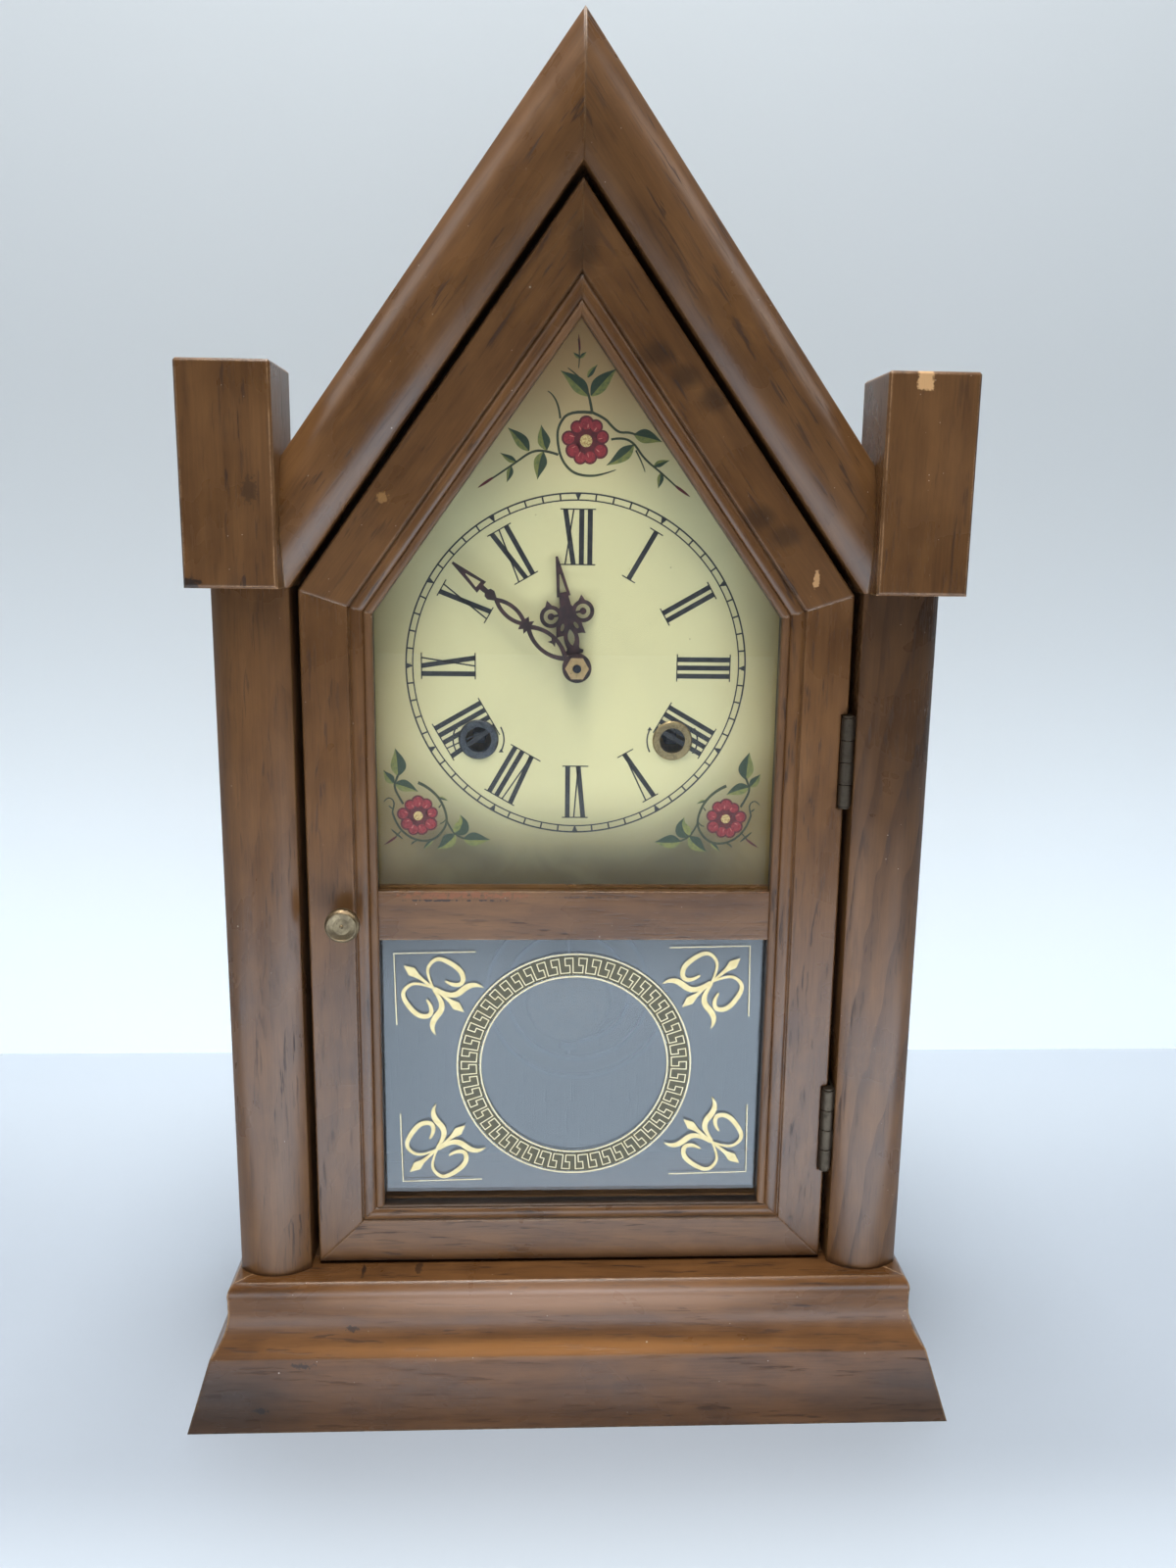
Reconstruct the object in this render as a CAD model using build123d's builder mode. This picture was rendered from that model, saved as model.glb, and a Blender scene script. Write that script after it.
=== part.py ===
from build123d import *
import os
from math import atan2, cos, hypot, pi, radians, sin, sqrt, tan

os.makedirs("parts", exist_ok=True)

# Steeple clock: a gabled wooden case with a glazed door, a painted dial and a striking spring movement.
# Millimetres. X to the right, Y to the back, Z up; the origin is on the table under the middle of the base.

# Base
overall_height = 505.0
base_width = 292.0
base_depth = 122.0
base_height = 53.0
base_flare = 16.0
base_break_height = 26.0
base_break_out = 8.4
base_round_out = 2.2
base_round_height = 6.0
base_band_height = 5.0
base_moulding_depth = 18.0
floor_thickness = 8.0
back_rail_thickness = 12.0

# Columns, roof mouldings and shoulder blocks
roof_pitch = 54.25
ledge_side = 1.0
ledge_front = 12.0
trim_width = 27.0
trim_edge_depth = 20.0
trim_crown = 6.0
trim_overhang = 2.0
block_width = 31.7
block_depth = 33.0
block_height = 75.0
block_lap = 1.2
block_arris = 0.8

# Case boards
case_board = 12.0
front_board_thickness = 8.0
back_panel_thickness = 4.0
back_panel_inset = 1.0
window_half_width = 82.0
window_sill = 8.0
screw_radius = 1.2
screw_head_radius = 3.2
screw_head_height = 1.6
screw_length = 13.0
screw_play = 0.05
screw_rows = 3
screw_end_distance = 24.0

# Door
door_gap = 2.8
door_lift = 1.1
door_thickness = 16.0
door_back_gap = 2.0
frame_width = 22.7
frame_flat = 17.0
frame_arris = 0.6
quirk_width = 0.4
quirk_depth = 1.4
bead_width = 5.1
bead_crown = 1.3
bead_drop = 0.4
sight_depth = 5.6
lip_thickness = 1.2
rebate_width = 5.5
glass_thickness = 2.0
glass_play = 0.5
strip_size = 4.0
strip_play = 0.2
rail_height = 18.9
rail_drop = 92.6
rail_setback = 3.0
rail_depth = 11.2
knob_inset = 13.7
knob_radius = 6.2
knob_head = 5.0
knob_reach = 11.0
knob_neck_radius = 2.6
knob_dish = 0.6
knob_edge = 1.2
stud_radius = 2.0
stud_length = 11.0
stud_play = 0.1

# Hinges and catch
hinge_length = 33.0
hinge_radius = 2.4
hinge_forward = 0.6
hinge_knuckles = 4
hinge_knuckle_gap = 0.3
hinge_leaf = 1.0
hinge_leaf_depth = 13.0
hinge_pin_radius = 1.0
hinge_pin_play = 0.05
hinge_pin_head = 0.8
hinge_clearance = 0.35
hinge_from_shoulder = 60.6
hinge_from_bottom = 55.6
catch_width = 8.0
catch_height = 22.0
catch_depth = 6.0
catch_proud = 1.2
catch_inset = 1.2
catch_plate_thickness = 1.0

# Dial and hands
dial_drop = 28.2
dial_margin = 9.0
dial_thickness = 0.6
dial_hole_radius = 5.0
winding_across = 36.6
winding_drop = 27.6
grommet_bore = 4.8
grommet_wall = 0.9
grommet_flange = 7.5
grommet_flange_height = 1.0
grommet_length = 3.0
grommet_play = 0.1
board_hole_radius = 7.0
hand_thickness = 0.7
hand_stroke = 1.45
minute_hand_length = 59.4
minute_hand_angle = -50.1
hour_hand_length = 41.4
hour_hand_angle = -10.8
hand_hub_radius = 5.4
hour_hand_gap = 1.8
minute_hand_gap = 2.6
nut_flats = 7.6
nut_height = 2.0
tip_reach = 0.6

# Movement frame
post_share = 0.15625
plate_thickness = 2.0
plate_gap_share = 0.46875
plate_half_width = 63.0
plate_rise = 55.0
plate_fall = 63.0
pillar_edge = 6.0
pillar_radius = 3.0
pillar_stud_radius = 2.0
end_shake = 0.3
arbor_radius = 1.5
thick_arbor_radius = 2.0
thin_arbor_radius = 1.2
pipe_play = 0.7
pipe_wall = 1.3
pivot_radius = 1.0
pivot_play = 0.05
winding_arbor_radius = 3.4
winding_pivot_radius = 3.0
winding_square = 4.2
winding_square_depth = 4.5
spring_core_radius = 5.0
spring_strip = 0.9
spring_turns = 4
spring_step = 4.0
spring_play = 0.4
spring_steps_per_turn = 16

# Teeth: leaves of the pinions, teeth of the wheels and their modules
addendum = 0.8
dedendum = 1.6
wheel_tip_share = 0.05
pinion_tip_share = 0.02
pinion_leaves = 8
great_teeth = 48
great_module = 1.1
second_teeth = 48
second_module = 0.85
centre_teeth = 72
centre_module = 0.55
third_teeth = 72
third_module = 0.5
escape_teeth = 50
escape_radius = 9.5
escape_depth = 1.6
strike_second_module = 0.75
pin_teeth = 40
pin_module = 0.6
cannon_teeth = 12
minute_teeth = 36
motion_module = 0.6
minute_pinion_teeth = 10
hour_teeth = 40
wheel_thickness = 1.5
pinion_length = 4.0
ratchet_teeth = 20
ratchet_radius = 9.0
ratchet_depth = 1.4
click_length = 4.5
click_width = 3.0
click_gap = 0.5
wheel_gap = 0.4

# Levels of the wheels behind the front plate, as shares of the gap between the plates
second_wheel_level = 0.0833
great_wheel_level = 0.2333
spring_level = 0.44
spring_share = 0.4667
centre_wheel_level = 0.4667
third_wheel_level = 0.6667
escape_wheel_level = 0.8333
fly_level = 0.75

# Strike side
strike_second_angle = 100.0
pin_wheel_angle = 80.0
fly_angle = 60.0
lift_pins = 8
lift_pin_circle = 7.6
lift_pin_radius = 0.8
lift_pin_length = 2.4
fly_half_width = 9.0
fly_blade = 1.0
hammer_edge = 5.0
hammer_rise = 22.0
hammer_wire = 2.0
hammer_head_radius = 5.0
hammer_head_length = 6.0
hammer_gap = 1.0
hammer_strike_angle = 135.0
hammer_tail_gap = 0.8

# Pendulum and gong
pivot_rise = 42.0
pallet_drop = 13.0
bob_share = 0.3216
pendulum_share = 0.09375
rod_radius = 1.1
strip_thickness = 0.5
strip_width = 4.0
strip_length = 10.0
suspension_slot = 2.4
suspension_block = 9.0
suspension_gap = 3.0
bob_radius = 19.0
bob_thickness = 8.0
bob_edge = 2.4
bob_play = 0.1
rating_nut_radius = 4.0
rating_nut_height = 3.5
rod_tail = 3.0
crutch_length = 44.0
crutch_strip = 1.2
crutch_width = 2.6
crutch_prong = 0.9
crutch_play = 0.3
gong_boss_radius = 9.0
gong_foot_width = 40.0
gong_foot_height = 16.0
gong_foot_thickness = 3.0
gong_boss_height = 6.4
gong_wire = 1.6
gong_wire_depth = 2.4
gong_first_radius = 10.0
gong_step = 4.4
gong_half_turns = 8

# Positions that follow from the sizes
slope = tan(radians(roof_pitch))
rise = 1 / cos(radians(roof_pitch))
base_top_half = base_width / 2 - base_flare
base_front = -base_depth / 2
base_back = base_depth / 2
ledge_y = base_front + base_flare
door_face = ledge_y + ledge_front
door_back = door_face + door_thickness
case_front = door_back + door_back_gap
case_back = base_back - back_panel_thickness
trim_half = base_top_half - ledge_side
trim_inner = trim_half - trim_width
trim_shoulder = overall_height - trim_width * rise - trim_inner * slope
case_half = trim_half - trim_overhang
case_apex = overall_height - trim_overhang * rise
inner_half = case_half - case_board
inner_apex = case_apex - case_board * rise
block_inner = trim_inner + block_lap
door_half = trim_inner - door_gap
door_bottom = base_height + door_lift
door_apex = overall_height - (trim_width + door_gap) * rise
door_shoulder = door_apex - door_half * slope
lip_depth = sight_depth + lip_thickness
glass_y = door_face + lip_depth
glass_back = glass_y + glass_thickness
board_back = case_front + front_board_thickness
dial_front = case_front - dial_thickness
dial_z = door_shoulder - dial_drop
rail_z = dial_z - rail_drop
knob_x = -(door_half - knob_inset)
hinge_x = door_half
hinge_y = door_face - hinge_forward
hinge_heights = (door_bottom + hinge_from_bottom, door_shoulder - hinge_from_shoulder)
inner_depth = case_back - board_back
plate_front = board_back + inner_depth * post_share
train_front = plate_front + plate_thickness
plate_gap = inner_depth * plate_gap_share
train_back = train_front + plate_gap
plate_back = train_back + plate_thickness
pivot_z = dial_z + pivot_rise
floor_top = base_height + window_sill
bob_z = floor_top + (dial_z - floor_top) * bob_share
pendulum_y = plate_back + inner_depth * pendulum_share
second_wheel_depth = plate_gap * second_wheel_level
great_wheel_depth = plate_gap * great_wheel_level
spring_depth = plate_gap * spring_level
spring_width = plate_gap * spring_share
centre_wheel_depth = plate_gap * centre_wheel_level
third_wheel_depth = plate_gap * third_wheel_level
escape_wheel_depth = plate_gap * escape_wheel_level
fly_depth = plate_gap * fly_level


def gable(half_width, bottom, apex):
    """Corners of a five-sided outline, clockwise from the lower left as seen from the front."""
    shoulder = apex - half_width * slope
    right = [(half_width, shoulder), (half_width, bottom)]
    return [(-half_width, bottom), (-half_width, shoulder), (0, apex)] + right


def door_line(by):
    """The door's outline moved inwards by a distance square to each edge."""
    return gable(door_half - by, door_bottom + by, door_apex - by * rise)


def mirrored(points):
    """The same outline on the other side of the middle plane."""
    return [(-x, z) for x, z in points]


def facing(y):
    """A sketch plane seen from the front, with its back at the given depth."""
    return Plane.XZ.offset(-y)


def keep(builder, label):
    """Label a finished piece and write it."""
    builder.part.label = label
    export_step(builder.part, f"parts/{label}.step")


def slab(label, outlines, front, back):
    """One or more flat boards of the given outlines between two depths."""
    with BuildPart() as board:
        with BuildSketch(facing(back)):
            for outline in outlines:
                Polygon(*outline)
        extrude(amount=back - front)
    keep(board, label)


# Base mouldings: rounded top edge, plain band, cove, then a straight flare down to the table
def base_moulding(plane, length, corners):
    """A length of base moulding along a plane's normal, cut to the mitred plan."""
    band_top = base_height - base_round_height
    band_foot = band_top - base_band_height
    cove_out = base_break_out - base_round_out
    cove_drop = band_foot - base_break_height
    cove_radius = (cove_out**2 + cove_drop**2) / (2 * cove_out)
    swing = atan2(cove_drop, cove_radius - cove_out) / 2
    cove_mid = (
        base_round_out + cove_radius * (1 - cos(swing)),
        band_foot - cove_radius * sin(swing),
    )
    round_mid = (base_round_out * 0.72, base_height - base_round_height * 0.3)
    with BuildPart() as moulding:
        with BuildSketch(plane):
            with BuildLine():
                Polyline(
                    (0, base_height),
                    (-base_moulding_depth, base_height),
                    (-base_moulding_depth, 0),
                    (base_flare, 0),
                    (base_break_out, base_break_height),
                )
                ThreePointArc((base_break_out, base_break_height), cove_mid, (base_round_out, band_foot))
                Line((base_round_out, band_foot), (base_round_out, band_top))
                ThreePointArc((base_round_out, band_top), round_mid, (0, base_height))
            make_face()
        extrude(amount=length, both=True)
        with BuildSketch(Plane.XY):
            for corner in corners:
                Polygon(*corner)
        extrude(amount=base_height, mode=Mode.INTERSECT)
    return moulding


base_half = base_width / 2
mitre_in = base_flare + base_moulding_depth
over = base_moulding_depth / 4
front_plan = [
    (-base_half - over, base_front - over),
    (base_half + over, base_front - over),
    (base_half - mitre_in - over, base_front + mitre_in + over),
    (-base_half + mitre_in + over, base_front + mitre_in + over),
]
right_plan = [
    (base_half + over, base_front - over),
    (base_half + over, base_back),
    (base_half - mitre_in - over, base_back),
    (base_half - mitre_in - over, base_front + mitre_in + over),
]
front_face = Plane(origin=(0, ledge_y, 0), x_dir=(0, -1, 0), z_dir=(-1, 0, 0))
right_face = Plane(origin=(base_top_half, 0, 0), x_dir=(1, 0, 0), z_dir=(0, -1, 0))

base_front_moulding = base_moulding(front_face, base_width, [front_plan])
keep(base_front_moulding, "base_front_moulding")

base_right = base_moulding(right_face, base_depth, [right_plan])
with BuildPart() as base_side_mouldings:
    add(base_right.part)
    mirror(about=Plane.YZ)
keep(base_side_mouldings, "base_side_mouldings")

base_inside = base_top_half - base_moulding_depth
rail_front = base_back - back_rail_thickness
floor_front = ledge_y + base_moulding_depth
rail_plan = [(-base_inside, 0), (base_inside, 0), (base_inside, base_height), (-base_inside, base_height)]
slab("base_back_rail", [rail_plan], rail_front, base_back)
floor_foot = base_height - floor_thickness
floor_plan = [
    (-base_inside, floor_foot),
    (base_inside, floor_foot),
    (base_inside, base_height),
    (-base_inside, base_height),
]
slab("floor_board", [floor_plan], floor_front, rail_front)


# Screws of the back panel, on the middle line of the boards' back edges
def screw_points():
    """Centres of the back panel's screws."""
    line = case_half - case_board / 2
    low = base_height + screw_end_distance
    high = case_apex - case_half * slope - screw_end_distance
    points = []
    for row in range(screw_rows):
        height = low + (high - low) * row / (screw_rows - 1)
        points += [(-line, height), (line, height)]
    across = case_half / 2
    height = case_apex - case_board / 2 * rise - across * slope
    return points + [(-across, height), (across, height)]


# Case boards: sides and roof with bevelled joints, pilot holes in their back edges
def bored_boards(label, outlines):
    """Boards of the case that take the back panel's screws."""
    with BuildPart() as boards:
        with BuildSketch(facing(case_back)):
            for outline in outlines:
                Polygon(*outline)
        extrude(amount=case_back - case_front)
        with BuildSketch(facing(case_back)):
            with Locations(*screw_points()):
                Circle(screw_radius + screw_play)
        extrude(amount=screw_length - back_panel_thickness + wheel_gap, mode=Mode.SUBTRACT)
    keep(boards, label)


side_outline = [
    (inner_half, base_height),
    (case_half, base_height),
    (case_half, case_apex - case_half * slope),
    (inner_half, inner_apex - inner_half * slope),
]
roof_outline = [
    (0, inner_apex),
    (inner_half, inner_apex - inner_half * slope),
    (case_half, case_apex - case_half * slope),
    (0, case_apex),
]
bored_boards("side_boards", [side_outline, mirrored(side_outline)])
bored_boards("roof_board_right", [roof_outline])
bored_boards("roof_board_left", [mirrored(roof_outline)])

with BuildPart() as back_panel:
    with BuildSketch(facing(base_back)):
        Polygon(*gable(case_half - back_panel_inset, base_height, case_apex - back_panel_inset * rise))
        with Locations(*screw_points()):
            Circle(screw_radius + screw_play, mode=Mode.SUBTRACT)
    extrude(amount=back_panel_thickness)
    with BuildSketch(facing(base_back)):
        with Locations(*screw_points()):
            Circle(screw_head_radius + screw_play)
    extrude(amount=screw_head_height, mode=Mode.SUBTRACT)
keep(back_panel, "back_panel")

with BuildPart() as back_panel_screws:
    with BuildSketch(facing(base_back)):
        with Locations(*screw_points()):
            Circle(screw_head_radius)
    extrude(amount=screw_head_height)
    with BuildSketch(facing(base_back)):
        with Locations(*screw_points()):
            Circle(screw_radius)
    extrude(amount=screw_length)
keep(back_panel_screws, "back_panel_screws")

# Front board: closes the upper case behind the dial, with a window under it for the pendulum
catch_x = -(door_half - catch_inset - catch_width / 2)
catch_front = case_front - catch_proud
window_top = rail_z - rail_height / 4
winding_points = [(-winding_across, dial_z - winding_drop), (winding_across, dial_z - winding_drop)]
pillar_points = [
    (-(plate_half_width - pillar_edge), dial_z + plate_rise - pillar_edge),
    (plate_half_width - pillar_edge, dial_z + plate_rise - pillar_edge),
    (-(plate_half_width - pillar_edge), dial_z - plate_fall + pillar_edge),
    (plate_half_width - pillar_edge, dial_z - plate_fall + pillar_edge),
]
with BuildPart() as front_board:
    with BuildSketch(facing(board_back)):
        Polygon(*gable(inner_half, base_height, inner_apex))
        Polygon(
            (-window_half_width, base_height + window_sill),
            (window_half_width, base_height + window_sill),
            (window_half_width, window_top),
            (-window_half_width, window_top),
            mode=Mode.SUBTRACT,
        )
        with Locations((0, dial_z), *winding_points):
            Circle(board_hole_radius, mode=Mode.SUBTRACT)
        with Locations(*pillar_points):
            Circle(pillar_stud_radius + pivot_play, mode=Mode.SUBTRACT)
    extrude(amount=front_board_thickness)
    with BuildSketch(facing(case_front + catch_depth - catch_proud)):
        with Locations((catch_x, rail_z)):
            Rectangle(catch_width, catch_height)
    extrude(amount=catch_depth, mode=Mode.SUBTRACT)
keep(front_board, "front_board")

with BuildPart() as catch_magnet:
    with BuildSketch(facing(case_front + catch_depth - catch_proud)):
        with Locations((catch_x, rail_z)):
            Rectangle(catch_width, catch_height)
    extrude(amount=catch_depth)
keep(catch_magnet, "catch_magnet")


# Trim: one flat-crowned section for the columns and the roof mouldings
def crowned(plane, length):
    """A length of trim, its back on the plane's X axis and its crown towards minus Y."""
    with BuildPart() as stock:
        with BuildSketch(plane):
            with BuildLine():
                Polyline((0, -trim_edge_depth), (0, 0), (trim_width, 0), (trim_width, -trim_edge_depth))
                ThreePointArc(
                    (trim_width, -trim_edge_depth),
                    (trim_width / 2, -trim_edge_depth - trim_crown),
                    (0, -trim_edge_depth),
                )
            make_face()
        extrude(amount=length)
    return stock


column_foot = Plane(origin=(trim_inner, case_front, base_height), x_dir=(1, 0, 0), z_dir=(0, 0, 1))
column_right = crowned(column_foot, trim_shoulder - base_height)
keep(column_right, "column_right")
with BuildPart() as column_left:
    mirror(column_right.part, about=Plane.YZ)
keep(column_left, "column_left")

pitch = radians(roof_pitch)
rake_head = Plane(
    origin=(-trim_width * cos(pitch), case_front, overall_height + trim_width * sin(pitch)),
    x_dir=(-sin(pitch), 0, -cos(pitch)),
    z_dir=(cos(pitch), 0, -sin(pitch)),
)
rake_stock = crowned(rake_head, overall_height)
with BuildPart() as roof_moulding_right:
    add(rake_stock.part)
    with BuildSketch(facing(case_front + trim_crown)):
        Polygon(
            (0, trim_shoulder),
            (block_inner, trim_shoulder),
            (block_inner, overall_height + trim_width),
            (0, overall_height + trim_width),
        )
    extrude(amount=trim_edge_depth + 3 * trim_crown, mode=Mode.INTERSECT)
keep(roof_moulding_right, "roof_moulding_right")
with BuildPart() as roof_moulding_left:
    mirror(roof_moulding_right.part, about=Plane.YZ)
keep(roof_moulding_left, "roof_moulding_left")

with BuildPart() as shoulder_block_right:
    with BuildSketch(facing(case_front)):
        with Locations((block_inner + block_width / 2, trim_shoulder + block_height / 2)):
            Rectangle(block_width, block_height)
    extrude(amount=block_depth)
    front_edges = shoulder_block_right.faces().sort_by(Axis.Y)[0].edges()
    top_edges = shoulder_block_right.faces().sort_by(Axis.Z)[-1].edges().sort_by(Axis.Y)[0:3]
    chamfer(front_edges + top_edges, block_arris)
keep(shoulder_block_right, "shoulder_block_right")
with BuildPart() as shoulder_block_left:
    mirror(shoulder_block_right.part, about=Plane.YZ)
keep(shoulder_block_left, "shoulder_block_left")

# Door frame: five mitred lengths of one section, flat face, bead, steep reveal and a rebate for the glass
outer_line = door_line(0)
sight_line = door_line(frame_width)


def door_member(start, end):
    """One length of the door frame between two corners, mitred at both ends."""
    (ax, az), (bx, bz) = outer_line[start], outer_line[end]
    length = hypot(bx - ax, bz - az)
    ux, uz = (bx - ax) / length, (bz - az) / length
    spare = frame_width / 8
    section = Plane(
        origin=(ax - ux * spare, door_face, az - uz * spare),
        x_dir=(uz, 0, -ux),
        z_dir=(ux, 0, uz),
    )
    bead_start = frame_flat + quirk_width
    bead_end = bead_start + bead_width
    corners = []
    for corner, reach in ((start, -0.15), (end, -0.15), (end, 1.15), (start, 1.15)):
        (ox, oz), (sx, sz) = outer_line[corner], sight_line[corner]
        corners.append((ox + (sx - ox) * reach, oz + (sz - oz) * reach))
    with BuildPart() as member:
        with BuildSketch(section):
            with BuildLine():
                Polyline(
                    (bead_start, quirk_depth),
                    (frame_flat, 0),
                    (frame_arris, 0),
                    (0, frame_arris),
                    (0, door_thickness),
                    (frame_width - rebate_width, door_thickness),
                    (frame_width - rebate_width, lip_depth),
                    (frame_width, lip_depth),
                    (frame_width, sight_depth),
                    (bead_end, quirk_depth + bead_drop),
                )
                ThreePointArc(
                    (bead_end, quirk_depth + bead_drop),
                    ((bead_start + bead_end) / 2, quirk_depth + bead_drop / 2 - bead_crown),
                    (bead_start, quirk_depth),
                )
            make_face()
        extrude(amount=length + 2 * spare)
        with BuildSketch(facing(door_back + spare)):
            Polygon(*corners)
        extrude(amount=door_thickness + 2 * spare, mode=Mode.INTERSECT)
    return member


stile_left_blank = door_member(0, 1)
with BuildPart() as door_stile_left:
    add(stile_left_blank.part)
    with BuildSketch(facing(door_face + stud_length + wheel_gap)):
        with Locations((knob_x, rail_z)):
            Circle(stud_radius + stud_play)
    extrude(amount=stud_length + wheel_gap, mode=Mode.SUBTRACT)
    with BuildSketch(facing(door_back)):
        with Locations((catch_x, rail_z)):
            Rectangle(catch_width, catch_height)
    extrude(amount=catch_plate_thickness, mode=Mode.SUBTRACT)
keep(door_stile_left, "door_stile_left")

with BuildPart() as catch_plate:
    with BuildSketch(facing(door_back)):
        with Locations((catch_x, rail_z)):
            Rectangle(catch_width, catch_height)
    extrude(amount=catch_plate_thickness)
keep(catch_plate, "catch_plate")

keep(door_member(1, 2), "door_rake_left")
keep(door_member(2, 3), "door_rake_right")
keep(door_member(4, 0), "door_bottom_rail")

stile_right_blank = door_member(3, 4)
with BuildPart() as door_stile_right:
    add(stile_right_blank.part)
    for height in hinge_heights:
        notch = hinge_length + 2 * (hinge_pin_head + hinge_clearance)
        with BuildSketch(Plane.XY.offset(height - notch / 2)):
            with Locations((hinge_x, hinge_y)):
                Circle(hinge_radius + hinge_clearance)
        extrude(amount=notch, mode=Mode.SUBTRACT)
        with BuildSketch(Plane.XY.offset(height - hinge_length / 2)):
            Polygon(
                (door_half - hinge_leaf, hinge_y),
                (door_half + hinge_leaf, hinge_y),
                (door_half + hinge_leaf, door_face + hinge_leaf_depth),
                (door_half - hinge_leaf, door_face + hinge_leaf_depth),
            )
        extrude(amount=hinge_length, mode=Mode.SUBTRACT)
keep(door_stile_right, "door_stile_right")


# Hinges: knuckles turn about shared pins, one leaf let into the door's edge, the other on the column
def hinge_leaves(label, plate_from, plate_to, first):
    """The leaves of both hinges that carry every second knuckle, counted from the given one."""
    knuckle = hinge_length / hinge_knuckles
    with BuildPart() as leaves:
        for height in hinge_heights:
            foot = height - hinge_length / 2
            clear = hinge_y + hinge_radius + hinge_clearance
            with BuildSketch(Plane.XY.offset(foot)):
                Polygon(
                    (plate_from, clear),
                    (plate_to, clear),
                    (plate_to, door_face + hinge_leaf_depth),
                    (plate_from, door_face + hinge_leaf_depth),
                )
            extrude(amount=hinge_length)
            for place in range(first, hinge_knuckles, 2):
                start = foot + place * knuckle + hinge_knuckle_gap / 2
                with BuildSketch(Plane.XY.offset(start)):
                    with Locations((hinge_x, hinge_y)):
                        Circle(hinge_radius)
                    Polygon(
                        (plate_from, hinge_y),
                        (plate_to, hinge_y),
                        (plate_to, clear + hinge_leaf),
                        (plate_from, clear + hinge_leaf),
                    )
                extrude(amount=knuckle - hinge_knuckle_gap)
            with BuildSketch(Plane.XY.offset(foot)):
                with Locations((hinge_x, hinge_y)):
                    Circle(hinge_pin_radius + hinge_pin_play)
            extrude(amount=hinge_length, mode=Mode.SUBTRACT)
    keep(leaves, label)


hinge_leaves("hinge_door_leaves", door_half - hinge_leaf, door_half, 0)
hinge_leaves("hinge_case_leaves", trim_inner - hinge_leaf, trim_inner, 1)

with BuildPart() as hinge_pins:
    for height in hinge_heights:
        with Locations((hinge_x, hinge_y, height)):
            Cylinder(hinge_pin_radius, hinge_length)
        for end in (-1, 1):
            with Locations((hinge_x, hinge_y, height + end * (hinge_length + hinge_pin_head) / 2)):
                Cylinder(hinge_radius - hinge_clearance, hinge_pin_head)
keep(hinge_pins, "hinge_pins")

# Mid rail: stands forward between the sight edges, with tongues behind the lips of the stiles
sight_half = door_half - frame_width
rebate_half = sight_half + rebate_width
rail_low = rail_z - rail_height / 2
rail_high = rail_z + rail_height / 2
with BuildPart() as door_mid_rail:
    with BuildSketch(Plane.XY.offset(rail_low)):
        Polygon(
            (-sight_half, door_face + rail_setback),
            (sight_half, door_face + rail_setback),
            (sight_half, glass_y),
            (rebate_half, glass_y),
            (rebate_half, door_face + rail_setback + rail_depth),
            (-rebate_half, door_face + rail_setback + rail_depth),
            (-rebate_half, glass_y),
            (-sight_half, glass_y),
        )
    extrude(amount=rail_height)
keep(door_mid_rail, "door_mid_rail")

# Glass and the strips that hold it from behind
pane = frame_width - rebate_width + glass_play
pane_half = door_half - pane
pane_apex = door_apex - pane * rise
slab("upper_glass", [gable(pane_half, rail_high, pane_apex)], glass_y, glass_back)
lower_pane = [
    (-pane_half, door_bottom + pane),
    (pane_half, door_bottom + pane),
    (pane_half, rail_low),
    (-pane_half, rail_low),
]
slab("lower_glass", [lower_pane], glass_y, glass_back)

strip_outer = door_line(frame_width - rebate_width)
strip_inner = door_line(frame_width - rebate_width + strip_size)


def strip_outline(start, end, inner_end, inner_start):
    """A glazing strip between two mitres, drawn back a little at both."""
    corners = []
    for here, there in ((start, end), (end, start), (inner_end, inner_start), (inner_start, inner_end)):
        share = strip_play / hypot(there[0] - here[0], there[1] - here[1])
        corners.append((here[0] + (there[0] - here[0]) * share, here[1] + (there[1] - here[1]) * share))
    return corners


strip_outlines = [
    strip_outline(strip_outer[1], strip_outer[2], strip_inner[2], strip_inner[1]),
    strip_outline(strip_outer[2], strip_outer[3], strip_inner[3], strip_inner[2]),
    strip_outline(strip_outer[4], strip_outer[0], strip_inner[0], strip_inner[4]),
]
for side in (-1, 1):
    edge, inner_edge = side * rebate_half, side * (rebate_half - strip_size)
    shoulders = (edge, strip_outer[1][1]), (inner_edge, strip_inner[1][1])
    feet = (edge, strip_outer[0][1]), (inner_edge, strip_inner[0][1])
    strip_outlines.append(strip_outline((edge, rail_high), *shoulders, (inner_edge, rail_high)))
    strip_outlines.append(strip_outline(feet[0], (edge, rail_low), (inner_edge, rail_low), feet[1]))
slab("glazing_strips", strip_outlines, glass_back, glass_back + strip_size)

# Knob: turned brass pull with a dished face, on a stud let into the stile
with BuildPart() as door_knob:
    with BuildSketch(Plane(origin=(knob_x, door_face, rail_z), x_dir=(1, 0, 0), z_dir=(0, 0, 1))):
        with BuildLine():
            Polyline(
                (0, stud_length),
                (0, -knob_reach + knob_dish),
                (knob_radius / 2, -knob_reach + knob_dish),
                (knob_radius - knob_edge, -knob_reach),
                (knob_radius, -knob_reach + knob_edge),
                (knob_radius, -knob_reach + knob_head - knob_edge),
                (knob_neck_radius, -knob_reach + knob_head),
                (knob_neck_radius, 0),
                (stud_radius, 0),
                (stud_radius, stud_length),
                close=True,
            )
        make_face()
    revolve(axis=Axis((knob_x, 0, rail_z), (0, 1, 0)))
keep(door_knob, "door_knob")

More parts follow.
